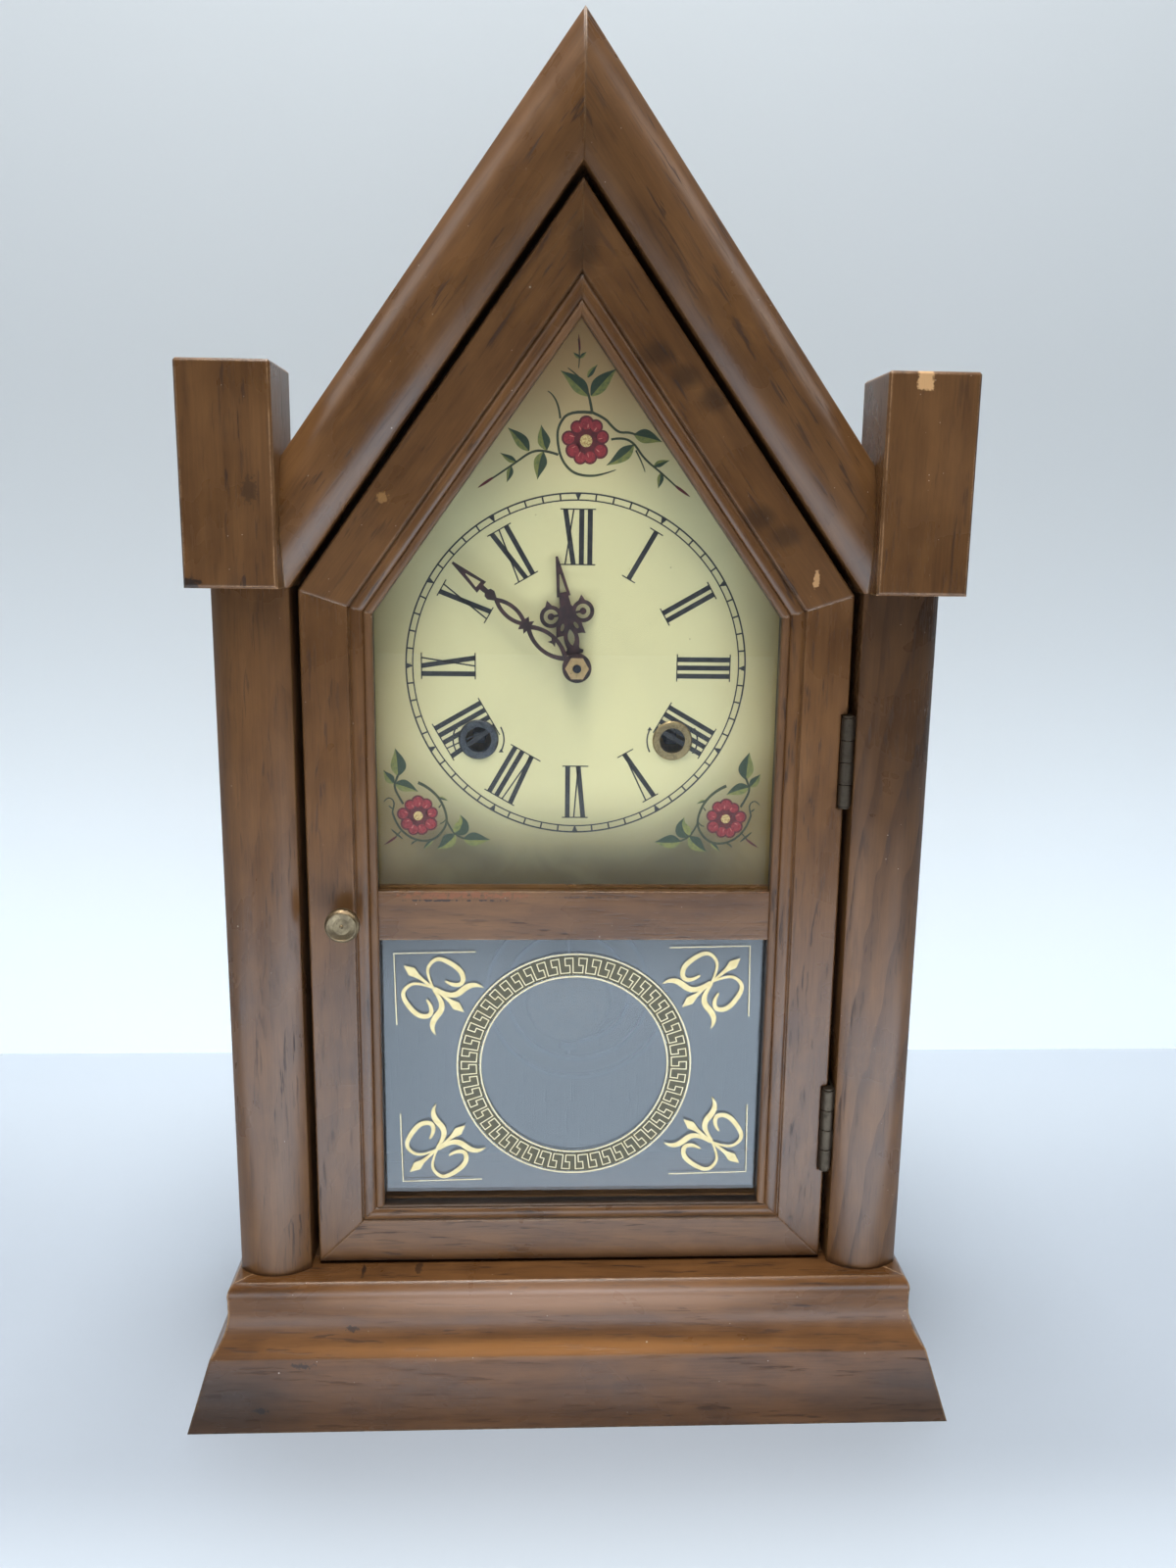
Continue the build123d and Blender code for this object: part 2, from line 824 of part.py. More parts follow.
# Dial: painted sheet on the front board, two flanged grommets in its winding holes
dial_edge = frame_width - dial_margin
dial_outline = gable(door_half - dial_edge, window_top, door_apex - dial_edge * rise)
grommet_radius = grommet_bore + grommet_wall
with BuildPart() as dial_plate:
    with BuildSketch(facing(case_front)):
        Polygon(*dial_outline)
        with Locations((0, dial_z)):
            Circle(dial_hole_radius, mode=Mode.SUBTRACT)
        with Locations(*winding_points):
            Circle(grommet_radius + grommet_play, mode=Mode.SUBTRACT)
    extrude(amount=dial_thickness)
keep(dial_plate, "dial_plate")

for side, centre in zip(("left", "right"), winding_points):
    with BuildPart() as grommet:
        with BuildSketch(facing(dial_front)):
            with Locations(centre):
                Circle(grommet_flange)
        extrude(amount=grommet_flange_height)
        chamfer(grommet.faces().sort_by(Axis.Y)[0].edges(), grommet_flange_height / 2)
        with BuildSketch(facing(dial_front + grommet_length)):
            with Locations(centre):
                Circle(grommet_radius)
        extrude(amount=grommet_length)
        with BuildSketch(facing(dial_front + grommet_length)):
            with Locations(centre):
                Circle(grommet_bore)
        extrude(amount=grommet_length + grommet_flange_height, mode=Mode.SUBTRACT)
    keep(grommet, f"winding_grommet_{side}")

# Depths of the hands and the pipes that carry them
hour_hand_y = dial_front - hour_hand_gap
minute_hand_y = hour_hand_y - minute_hand_gap
nut_front = minute_hand_y - hand_thickness - nut_height
arbor_tip = nut_front - tip_reach
hour_pipe_front = hour_hand_y - hand_thickness
hour_bore = arbor_radius + pipe_play
hour_pipe_radius = hour_bore + pipe_wall


def hand_plane(y, angle):
    """A sketch plane whose Y axis points along a hand, its angle clockwise from twelve."""
    turn = radians(angle)
    return Plane(origin=(0, y, dial_z), x_dir=(cos(turn), 0, -sin(turn)), z_dir=(0, -1, 0))


def both_sides(half, length):
    """A hand's outline from the points of its right half, given as shares of its length."""
    right = [(x * length, along * length) for x, along in half]
    return right + [(-x, along) for x, along in reversed(right) if x > 0]


# Minute hand: hub, two open leaf loops with a pointed collar between them, and a pierced arrow head
reach = minute_hand_length
loops = [(0.07, 0.42, 0.066), (0.40, 0.675, 0.046)]
collar = [(0, 0.385), (0.052, 0.39), (0.03, 0.412), (0.052, 0.434), (0, 0.45)]
crossbar = [(0, 0.655), (0.013, 0.66), (0.034, 0.695), (0.03, 0.72), (0.016, 0.73), (0.018, 0.775), (0, 0.78)]
arrow = [(0, 0.77), (0.044, 0.768), (0.007, 1), (0, 1)]
eye = [(0, 0.795), (0.022, 0.795), (0.002, 0.895), (0, 0.895)]
scroll = [(0.058, 0.2), (0.035, 0.205), (0.012, 0.19), (0.018, 0.215), (0.008, 0.245), (0.03, 0.232), (0.06, 0.26)]
with BuildPart() as minute_hand:
    with BuildSketch(hand_plane(minute_hand_y, minute_hand_angle)):
        for start, end, swell in loops:
            with BuildLine():
                low, high, wide = start * reach, end * reach, swell * reach
                ThreePointArc((0, low), (wide, (low + high) / 2), (0, high))
                ThreePointArc((0, high), (-wide, (low + high) / 2), (0, low))
            make_face()
        for start, end, swell in loops:
            low, high = start * reach + 2 * hand_stroke, end * reach - 2 * hand_stroke
            wide = swell * reach - hand_stroke
            with BuildLine():
                ThreePointArc((0, low), (wide, (low + high) / 2), (0, high))
                ThreePointArc((0, high), (-wide, (low + high) / 2), (0, low))
            make_face(mode=Mode.SUBTRACT)
        Circle(hand_hub_radius)
        for outline in (collar, crossbar, arrow):
            Polygon(*both_sides(outline, reach))
        Polygon(*both_sides(eye, reach), mode=Mode.SUBTRACT)
        Polygon(*[(x * reach, along * reach) for x, along in scroll])
        Circle(arbor_radius + pivot_play, mode=Mode.SUBTRACT)
    extrude(amount=hand_thickness)
keep(minute_hand, "minute_hand")

with BuildPart() as hand_nut:
    with BuildSketch(facing(minute_hand_y - hand_thickness)):
        with Locations((0, dial_z)):
            RegularPolygon(nut_flats / 2, 6, major_radius=False)
            Circle(arbor_radius + pivot_play, mode=Mode.SUBTRACT)
    extrude(amount=nut_height)
keep(hand_nut, "hand_nut")

# Hour hand: hub, collar, leaf loop, two petals, two rings with a curl in each, and a pierced arrow head
span = hour_hand_length
ring_radius = 0.1 * span
ring_places = [(-0.145 * span, 0.487 * span), (0.145 * span, 0.487 * span)]
collar = [(0, 0.12), (0.08, 0.125), (0.09, 0.15), (0.06, 0.165), (0.05, 0.2), (0, 0.2)]
body = [(0, 0.3), (0.1, 0.3), (0.135, 0.29), (0.12, 0.36), (0.1, 0.5), (0.05, 0.56), (0.04, 0.66), (0, 0.66)]
spur = [(0.11, 0.57), (0.155, 0.635), (0.185, 0.57)]
arrow = [(0, 0.64), (0.062, 0.645), (0.01, 1), (0, 1)]
eye = [(0, 0.68), (0.03, 0.68), (0.004, 0.84), (0, 0.84)]
with BuildPart() as hour_hand:
    with BuildSketch(hand_plane(hour_hand_y, hour_hand_angle)):
        with BuildLine():
            ThreePointArc((0, 0.1 * span), (0.068 * span, 0.25 * span), (0, 0.42 * span))
            ThreePointArc((0, 0.42 * span), (-0.068 * span, 0.25 * span), (0, 0.1 * span))
        make_face()
        Polygon(*both_sides(body, span))
        with Locations(*ring_places):
            Circle(ring_radius)
        with Locations(*ring_places):
            Circle(ring_radius - hand_stroke, mode=Mode.SUBTRACT)
        with Locations(*ring_places):
            Circle(0.03 * span)
        with Locations(*[(0.65 * x, along) for x, along in ring_places]):
            Rectangle(0.1 * span, 0.6 * hand_stroke)
        with BuildLine():
            ThreePointArc((0, 0.2 * span), (0.03 * span, 0.27 * span), (0, 0.35 * span))
            ThreePointArc((0, 0.35 * span), (-0.03 * span, 0.27 * span), (0, 0.2 * span))
        make_face(mode=Mode.SUBTRACT)
        Circle(hand_hub_radius)
        for outline in (collar, arrow):
            Polygon(*both_sides(outline, span))
        for side in (-1, 1):
            Polygon(*[(side * x * span, along * span) for x, along in spur])
            with Locations(Location((side * 0.062 * span, 0.375 * span), side * 25)):
                Ellipse(0.016 * span, 0.034 * span, mode=Mode.SUBTRACT)
        Polygon(*both_sides(eye, span), mode=Mode.SUBTRACT)
        Circle(hour_pipe_radius + pivot_play, mode=Mode.SUBTRACT)
    extrude(amount=hand_thickness)
keep(hour_hand, "hour_hand")


# Wheel work: every arbor is a stack of round and toothed slices
def teeth_outline(centre, teeth, module, phase, tip_share):
    """Corners round a toothed wheel, three to a tooth: its root and the two ends of its tip."""
    tip = (teeth / 2 + addendum) * module
    root = (teeth / 2 - dedendum) * module
    step = 2 * pi / teeth
    corners = []
    for tooth in range(teeth):
        for radius, share in ((root, -0.5), (tip, -tip_share), (tip, tip_share)):
            turn = phase + (tooth + share) * step
            corners.append((centre[0] + radius * cos(turn), centre[1] + radius * sin(turn)))
    return corners


def saw_outline(centre, teeth, radius, depth):
    """Corners round a saw-toothed wheel, two to a tooth."""
    step = 2 * pi / teeth
    corners = []
    for tooth in range(teeth):
        for out, share in ((radius, 0.0), (radius - depth, 0.15)):
            turn = (tooth + share) * step
            corners.append((centre[0] + out * cos(turn), centre[1] + out * sin(turn)))
    return corners


def meshing_phase(driver, driver_teeth, driver_phase, driven, driven_teeth):
    """Phase that puts a gap of the driven wheel on a tooth of its driver."""
    line = atan2(driven[1] - driver[1], driven[0] - driver[0])
    return line + pi + pi / driven_teeth - (driver_phase - line) * driver_teeth / driven_teeth


def meet(first, first_distance, second, second_distance, side):
    """The point at two given distances from two centres, on the chosen side of the line between them."""
    dx, dz = second[0] - first[0], second[1] - first[1]
    gap = hypot(dx, dz)
    along = (first_distance**2 - second_distance**2 + gap**2) / (2 * gap)
    off = side * sqrt(first_distance**2 - along**2)
    return (
        first[0] + (along * dx - off * dz) / gap,
        first[1] + (along * dz + off * dx) / gap,
    )


def polar(centre, radius, angle):
    """A point at a distance and an angle in degrees from a centre."""
    return (centre[0] + radius * cos(radians(angle)), centre[1] + radius * sin(radians(angle)))


def arbor(centre, rounds, toothed, bore=0.0):
    """An arbor made of round slices and toothed slices, each given by its front, its back and its outline."""
    with BuildPart() as stack:
        for front, back, radius in rounds:
            with BuildSketch(facing(back)):
                with Locations(centre):
                    Circle(radius)
            extrude(amount=back - front)
        for front, back, outline in toothed:
            with BuildSketch(facing(back)):
                Polygon(*outline)
            extrude(amount=back - front)
        if bore:
            with BuildSketch(facing(train_back)):
                with Locations(centre):
                    Circle(bore)
            extrude(amount=train_back - arbor_tip, mode=Mode.SUBTRACT)
    return stack


def pivots(shaft):
    """Shaft and pivots of a train arbor between the two plates."""
    return [
        (train_front + end_shake, train_back - end_shake, shaft),
        (plate_front, plate_back, pivot_radius),
    ]


def slice_at(depth, length):
    """Front and back of a slice that starts at a depth behind the front plate."""
    return train_front + depth, train_front + depth + length


def wheel(depth, centre, teeth, module, phase=0.0):
    """A toothed wheel slice."""
    outline = teeth_outline(centre, teeth, module, phase, wheel_tip_share)
    return (*slice_at(depth, wheel_thickness), outline)


def pinion(depth, centre, module, phase):
    """A pinion slice centred on the wheel that it meshes with."""
    start = depth + wheel_thickness / 2 - pinion_length / 2
    outline = teeth_outline(centre, pinion_leaves, module, phase, pinion_tip_share)
    return (*slice_at(start, pinion_length), outline)


def spacing(teeth, module):
    """Distance between a wheel's arbor and the arbor of the pinion that it drives."""
    return (teeth + pinion_leaves) * module / 2


centre_at = (0, dial_z)
strike_at, time_at = winding_points
second_at = meet(
    centre_at, spacing(second_teeth, second_module), time_at, spacing(great_teeth, great_module), 1
)
escape_at = (0, pivot_z - pallet_drop)
third_at = meet(
    centre_at, spacing(centre_teeth, centre_module), escape_at, spacing(third_teeth, third_module), 1
)
strike_second_at = polar(strike_at, spacing(great_teeth, great_module), strike_second_angle)
pin_at = polar(strike_second_at, spacing(second_teeth, strike_second_module), pin_wheel_angle)
fly_at = polar(pin_at, spacing(pin_teeth, pin_module), fly_angle)
anchor_at = (0, pivot_z)
hammer_at = (-(plate_half_width - hammer_edge), dial_z + hammer_rise)
motion_distance = (cannon_teeth + minute_teeth) * motion_module / 2
hour_module = 2 * motion_distance / (minute_pinion_teeth + hour_teeth)
minute_at = (0, dial_z - motion_distance)
stud = arbor_radius

# Plates: pivot holes for every arbor; the front one carries the minute wheel's stud
train_points = [second_at, third_at, escape_at, strike_second_at, pin_at, fly_at]
plate_outline = [
    (-plate_half_width, dial_z - plate_fall),
    (plate_half_width, dial_z - plate_fall),
    (plate_half_width, dial_z + plate_rise),
    (-plate_half_width, dial_z + plate_rise),
]
minute_wheel_back = plate_front - end_shake
minute_wheel_front = minute_wheel_back - wheel_thickness
hour_wheel_back = minute_wheel_front - wheel_gap
hour_wheel_front = hour_wheel_back - wheel_thickness
with BuildPart() as front_plate:
    with BuildSketch(facing(train_front)):
        Polygon(*plate_outline)
        with Locations(*train_points, anchor_at, hammer_at):
            Circle(pivot_radius + pivot_play, mode=Mode.SUBTRACT)
        with Locations(centre_at):
            Circle(arbor_radius + pivot_play, mode=Mode.SUBTRACT)
        with Locations(*winding_points):
            Circle(winding_pivot_radius + pivot_play, mode=Mode.SUBTRACT)
        with Locations(*pillar_points):
            Circle(pillar_stud_radius + pivot_play, mode=Mode.SUBTRACT)
    extrude(amount=plate_thickness)
    with BuildSketch(facing(plate_front)):
        with Locations(minute_at):
            Circle(stud)
    extrude(amount=plate_front - hour_wheel_front + end_shake)
keep(front_plate, "front_plate")

# Back plate with the slotted block that holds the pendulum's suspension strip
with BuildPart() as back_plate:
    with BuildSketch(facing(plate_back)):
        Polygon(*plate_outline)
        with Locations(*train_points, centre_at):
            Circle(pivot_radius + pivot_play, mode=Mode.SUBTRACT)
        with Locations(anchor_at, hammer_at):
            Circle(arbor_radius + pivot_play, mode=Mode.SUBTRACT)
        with Locations(*winding_points):
            Circle(winding_pivot_radius + pivot_play, mode=Mode.SUBTRACT)
        with Locations(*pillar_points):
            Circle(pillar_stud_radius + pivot_play, mode=Mode.SUBTRACT)
    extrude(amount=plate_thickness)
    block_z = pivot_z + suspension_gap + suspension_block / 2
    with BuildSketch(facing(pendulum_y + strip_width)):
        with Locations((0, block_z)):
            Rectangle(suspension_block, suspension_block)
    extrude(amount=pendulum_y + strip_width - plate_back)
    with BuildSketch(facing(pendulum_y + strip_width)):
        with Locations((0, block_z)):
            Rectangle(suspension_slot, suspension_block)
    extrude(amount=1.75 * strip_width, mode=Mode.SUBTRACT)
keep(back_plate, "back_plate")

with BuildPart() as plate_pillars:
    for front, back, radius in (
        (board_back, plate_front, pillar_radius),
        (train_front, train_back, pillar_radius),
        (case_front + wheel_gap, plate_back, pillar_stud_radius),
    ):
        with BuildSketch(facing(back)):
            with Locations(*pillar_points):
                Circle(radius)
        extrude(amount=back - front)
keep(plate_pillars, "plate_pillars")

# Great wheels, each loose on its winding arbor, with the click that rides the ratchet
ratchet_depth_back = great_wheel_depth + wheel_thickness + wheel_gap
for side, centre in (("time", time_at), ("strike", strike_at)):
    great_front, great_back = slice_at(great_wheel_depth, wheel_thickness)
    with BuildPart() as great_wheel:
        with BuildSketch(facing(great_back)):
            Polygon(*teeth_outline(centre, great_teeth, great_module, 0.0, wheel_tip_share))
            with Locations(centre):
                Circle(winding_arbor_radius + pivot_play, mode=Mode.SUBTRACT)
        extrude(amount=wheel_thickness)
        with BuildSketch(facing(great_back + wheel_gap + wheel_thickness)):
            with Locations((centre[0], centre[1] + ratchet_radius + click_gap + click_length / 2)):
                Rectangle(click_width, click_length)
        extrude(amount=wheel_gap + wheel_thickness)
    keep(great_wheel, f"{side}_great_wheel")
    square_front = dial_front + winding_square_depth
    with BuildPart() as winding_arbor:
        for front, back, radius in (
            (train_front + end_shake, train_back - end_shake, winding_arbor_radius),
            (plate_front, plate_back, winding_pivot_radius),
            (*slice_at(spring_depth, spring_width), spring_core_radius),
        ):
            with BuildSketch(facing(back)):
                with Locations(centre):
                    Circle(radius)
            extrude(amount=back - front)
        ratchet_front, ratchet_back = slice_at(ratchet_depth_back, wheel_thickness)
        with BuildSketch(facing(ratchet_back)):
            Polygon(*saw_outline(centre, ratchet_teeth, ratchet_radius, ratchet_depth))
        extrude(amount=wheel_thickness)
        with BuildSketch(facing(plate_front)):
            with Locations(centre):
                Rectangle(winding_square, winding_square)
        extrude(amount=plate_front - square_front)
    keep(winding_arbor, f"{side}_winding_arbor")

# Mainsprings: flat strips wound outwards from the cores of the winding arbors
spring_steps = spring_turns * spring_steps_per_turn
spring_start = spring_core_radius + spring_play
with BuildPart() as mainsprings:
    for centre in winding_points:
        edges = []
        for offset in (0.0, spring_strip):
            edges.append(
                [
                    polar(
                        centre,
                        spring_start + offset + spring_step * step / spring_steps_per_turn,
                        360 * step / spring_steps_per_turn,
                    )
                    for step in range(spring_steps + 1)
                ]
            )
        spring_front, spring_back = slice_at(spring_depth, spring_width)
        with BuildSketch(facing(spring_back)):
            Polygon(*edges[0], *reversed(edges[1]))
        extrude(amount=spring_width)
keep(mainsprings, "mainsprings")

# Going train
second_phase = meshing_phase(time_at, great_teeth, 0.0, second_at, pinion_leaves)
keep(
    arbor(
        second_at,
        pivots(arbor_radius),
        [
            pinion(great_wheel_depth, second_at, great_module, second_phase),
            wheel(second_wheel_depth, second_at, second_teeth, second_module),
        ],
    ),
    "second_wheel",
)
centre_phase = meshing_phase(second_at, second_teeth, 0.0, centre_at, pinion_leaves)
cannon_outline = teeth_outline(centre_at, cannon_teeth, motion_module, 0.0, pinion_tip_share)
keep(
    arbor(
        centre_at,
        [
            (train_front + end_shake, train_back - end_shake, thick_arbor_radius),
            (train_back - end_shake, plate_back, pivot_radius),
            (arbor_tip, train_front + end_shake, arbor_radius),
        ],
        [
            pinion(second_wheel_depth, centre_at, second_module, centre_phase),
            wheel(centre_wheel_depth, centre_at, centre_teeth, centre_module),
            (minute_wheel_front, minute_wheel_back, cannon_outline),
        ],
    ),
    "centre_arbor",
)
third_phase = meshing_phase(centre_at, centre_teeth, 0.0, third_at, pinion_leaves)
keep(
    arbor(
        third_at,
        pivots(arbor_radius),
        [
            pinion(centre_wheel_depth, third_at, centre_module, third_phase),
            wheel(third_wheel_depth, third_at, third_teeth, third_module),
        ],
    ),
    "third_wheel",
)
escape_phase = meshing_phase(third_at, third_teeth, 0.0, escape_at, pinion_leaves)
escape_outline = saw_outline(escape_at, escape_teeth, escape_radius, escape_depth)
keep(
    arbor(
        escape_at,
        pivots(thin_arbor_radius),
        [
            pinion(third_wheel_depth, escape_at, third_module, escape_phase),
            (*slice_at(escape_wheel_depth, wheel_thickness), escape_outline),
        ],
    ),
    "escape_wheel",
)

# Motion work in front of the plate: minute wheel on its stud, hour wheel on its pipe
minute_phase = meshing_phase(centre_at, cannon_teeth, 0.0, minute_at, minute_teeth)
minute_outline = teeth_outline(minute_at, minute_teeth, motion_module, minute_phase, wheel_tip_share)
small_outline = teeth_outline(minute_at, minute_pinion_teeth, hour_module, 0.0, pinion_tip_share)
keep(
    arbor(
        minute_at,
        [],
        [
            (minute_wheel_front, minute_wheel_back, minute_outline),
            (hour_wheel_front, minute_wheel_front, small_outline),
        ],
        bore=stud + pivot_play,
    ),
    "minute_wheel",
)
hour_phase = meshing_phase(minute_at, minute_pinion_teeth, 0.0, centre_at, hour_teeth)
hour_outline = teeth_outline(centre_at, hour_teeth, hour_module, hour_phase, wheel_tip_share)
keep(
    arbor(
        centre_at,
        [(hour_pipe_front, hour_wheel_back, hour_pipe_radius)],
        [(hour_wheel_front, hour_wheel_back, hour_outline)],
        bore=hour_bore,
    ),
    "hour_wheel",
)

# Anchor: pallets over the escape wheel, and a crutch behind the back plate that embraces the rod
arm = [(0, 2.4), (-6, 1), (-12, -6), (-12.4, -11.4), (-10.8, -11), (-10, -6.2), (-5, -1.6), (0, -1.8)]
anchor_outline = arm + [(-x, z) for x, z in reversed(arm[1:-1])]
crutch_back = plate_back + end_shake + crutch_strip
crutch_foot = pivot_z - crutch_length
prong_inner = rod_radius + crutch_play
with BuildPart() as anchor:
    for front, back, radius in (
        (train_front + end_shake, crutch_back, arbor_radius),
        (plate_front, train_front + end_shake, pivot_radius),
    ):
        with BuildSketch(facing(back)):
            with Locations(anchor_at):
                Circle(radius)
        extrude(amount=back - front)
    with BuildSketch(facing(train_front + escape_wheel_depth + wheel_thickness)):
        Polygon(*[(x, pivot_z + z * pallet_drop / 13) for x, z in anchor_outline])
    extrude(amount=wheel_thickness)
    with BuildSketch(facing(crutch_back)):
        with Locations((0, pivot_z - crutch_length / 2)):
            Rectangle(crutch_width, crutch_length)
        with Locations((0, crutch_foot)):
            Rectangle(2 * (prong_inner + crutch_prong), 2 * crutch_width)
        with Locations(anchor_at):
            Circle(crutch_width)
    extrude(amount=crutch_strip)
    with BuildSketch(facing(pendulum_y + rod_radius)):
        for side in (-1, 1):
            with Locations((side * (prong_inner + crutch_prong / 2), crutch_foot)):
                Rectangle(crutch_prong, 2 * crutch_width)
    extrude(amount=pendulum_y + rod_radius - crutch_back)
keep(anchor, "anchor")

# Pendulum: suspension strip, wire rod with its rating nut, and a bob that rests on the nut
bob_foot = bob_z - bob_radius
with BuildPart() as pendulum_rod:
    strip_foot = pivot_z - strip_length
    strip_head = pivot_z + suspension_gap + suspension_block * 0.75
    with BuildSketch(facing(pendulum_y + strip_width / 2)):
        with Locations((0, (strip_foot + strip_head) / 2)):
            Rectangle(strip_thickness, strip_head - strip_foot)
    extrude(amount=strip_width)
    for foot, head, radius in (
        (bob_foot - rating_nut_height - rod_tail, strip_foot + strip_width, rod_radius),
        (strip_foot - strip_width, strip_foot + strip_width, 1.6 * rod_radius),
        (bob_foot - rating_nut_height, bob_foot, rating_nut_radius),
    ):
        with BuildSketch(Plane.XY.offset(foot)):
            with Locations((0, pendulum_y)):
                Circle(radius)
        extrude(amount=head - foot)
keep(pendulum_rod, "pendulum_rod")

with BuildPart() as pendulum_bob:
    with BuildSketch(facing(pendulum_y + bob_thickness / 2)):
        with Locations((0, bob_z)):
            Circle(bob_radius)
    extrude(amount=bob_thickness)
    fillet(pendulum_bob.edges().filter_by(GeomType.CIRCLE), bob_edge)
    with Locations((0, pendulum_y, bob_z)):
        Cylinder(rod_radius + bob_play, 3 * bob_radius, mode=Mode.SUBTRACT)
keep(pendulum_bob, "pendulum_bob")

# Strike train
strike_phase = meshing_phase(strike_at, great_teeth, 0.0, strike_second_at, pinion_leaves)
keep(
    arbor(
        strike_second_at,
        pivots(arbor_radius),
        [
            pinion(great_wheel_depth, strike_second_at, great_module, strike_phase),
            wheel(second_wheel_depth, strike_second_at, second_teeth, strike_second_module),
        ],
    ),
    "strike_second_wheel",
)
pin_phase = meshing_phase(strike_second_at, second_teeth, 0.0, pin_at, pinion_leaves)
pin_blank = arbor(
    pin_at,
    pivots(arbor_radius),
    [
        pinion(second_wheel_depth, pin_at, strike_second_module, pin_phase),
        wheel(centre_wheel_depth, pin_at, pin_teeth, pin_module),
    ],
)
pins_front, pins_back = slice_at(centre_wheel_depth + wheel_thickness, lift_pin_length)
with BuildPart() as pin_wheel:
    add(pin_blank.part)
    with BuildSketch(facing(pins_back)):
        with Locations(pin_at):
            with PolarLocations(lift_pin_circle, lift_pins):
                Circle(lift_pin_radius)
    extrude(amount=lift_pin_length)
keep(pin_wheel, "pin_wheel")

fly_phase = meshing_phase(pin_at, pin_teeth, 0.0, fly_at, pinion_leaves)
fly_pinion = pinion(centre_wheel_depth, fly_at, pin_module, fly_phase)
fly_blank = arbor(fly_at, pivots(thin_arbor_radius), [fly_pinion])
with BuildPart() as fly:
    add(fly_blank.part)
    with BuildSketch(facing(train_back - 2 * end_shake)):
        with Locations(fly_at):
            Rectangle(2 * fly_half_width, fly_blade)
    extrude(amount=plate_gap - fly_depth - 2 * end_shake)
keep(fly, "fly")

# Gong: cast foot and boss on the back panel, flat steel strip coiled outwards in half turns
gong_at = (0, bob_z)
gong_radii = [gong_first_radius + gong_step * turn for turn in range(gong_half_turns)]
gong_outer = gong_radii[-1] + gong_wire / 2
with BuildPart() as gong_base:
    with BuildSketch(facing(case_back)):
        with Locations(gong_at):
            Rectangle(gong_foot_width, gong_foot_height)
    extrude(amount=gong_foot_thickness)
    with BuildSketch(facing(case_back)):
        with Locations(gong_at):
            Circle(gong_boss_radius)
    extrude(amount=gong_boss_height)
keep(gong_base, "gong_base")

with BuildPart() as gong_coil:
    coil_front = case_back - gong_boss_height
    with BuildSketch(facing(coil_front + gong_wire_depth)):
        with BuildLine():
            for edge in (-gong_wire / 2, gong_wire / 2):
                for turn, radius in enumerate(gong_radii):
                    middle = (gong_at[0] + (gong_step if turn % 2 else 0.0), gong_at[1])
                    CenterArc(middle, radius + edge, 180.0 * (turn % 2), 180.0)
            for end in (0, gong_half_turns):
                turned = min(end, gong_half_turns - 1)
                across = gong_step if turned % 2 else 0.0
                sign = 1 if end % 2 == 0 else -1
                inner_end = gong_at[0] + across + sign * (gong_radii[turned] - gong_wire / 2)
                outer_end = gong_at[0] + across + sign * (gong_radii[turned] + gong_wire / 2)
                Line((inner_end, gong_at[1]), (outer_end, gong_at[1]))
        make_face()
    extrude(amount=gong_wire_depth)
keep(gong_coil, "gong_coil")
print("least gap between the gong's turns", 2 * gong_step - gong_wire)
print("least gap between the mainsprings' turns", spring_step - spring_strip)

# Hammer: arbor through the back plate, wire down to the head beside the gong, tail by the lifting pins
head_reach = gong_outer + hammer_gap + hammer_head_radius
strike_x = gong_at[0] + head_reach * cos(radians(hammer_strike_angle))
strike_z = gong_at[1] + head_reach * sin(radians(hammer_strike_angle))
wire_length = hypot(strike_x - hammer_at[0], strike_z - hammer_at[1])
wire_turn = atan2(strike_z - hammer_at[1], strike_x - hammer_at[0])
hammer_y = coil_front + gong_wire_depth / 2
tail_end = -hammer_at[0] + pin_at[0] - lift_pin_circle - lift_pin_radius - hammer_tail_gap
with BuildPart() as hammer:
    for front, back, radius in (
        (train_front + end_shake, hammer_y + hammer_wire, arbor_radius),
        (plate_front, train_front + end_shake, pivot_radius),
    ):
        with BuildSketch(facing(back)):
            with Locations(hammer_at):
                Circle(radius)
        extrude(amount=back - front)
    with BuildSketch(facing(hammer_y + hammer_wire / 2)):
        with Locations(Location((hammer_at[0], hammer_at[1], 0), wire_turn * 180 / pi)):
            with Locations((wire_length / 2, 0)):
                Rectangle(wire_length, hammer_wire)
    extrude(amount=hammer_wire)
    with BuildSketch(facing(hammer_y + hammer_head_length / 2)):
        with Locations((strike_x, strike_z)):
            Circle(hammer_head_radius)
    extrude(amount=hammer_head_length)
    with BuildSketch(facing(pins_back)):
        with Locations((hammer_at[0] + tail_end / 2, hammer_at[1])):
            Rectangle(tail_end, hammer_wire)
    extrude(amount=lift_pin_length)
keep(hammer, "hammer")
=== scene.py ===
"""Looks of a gabled shelf clock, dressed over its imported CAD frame."""

import logging
import math
from dataclasses import dataclass, field
from enum import Enum
from typing import Callable, Iterable, Sequence, Union

import bmesh
import bpy
from mathutils import Matrix, Vector


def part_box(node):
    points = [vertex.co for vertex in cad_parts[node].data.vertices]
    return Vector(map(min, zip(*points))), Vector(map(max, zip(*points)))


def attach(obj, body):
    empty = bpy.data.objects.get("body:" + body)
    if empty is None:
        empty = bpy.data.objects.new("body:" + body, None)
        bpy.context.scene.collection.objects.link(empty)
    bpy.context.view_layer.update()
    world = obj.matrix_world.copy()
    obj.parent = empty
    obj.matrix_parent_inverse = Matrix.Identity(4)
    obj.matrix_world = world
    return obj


LOG = logging.getLogger("clock")
MM = 0.001
RAKE = math.radians(54.25)

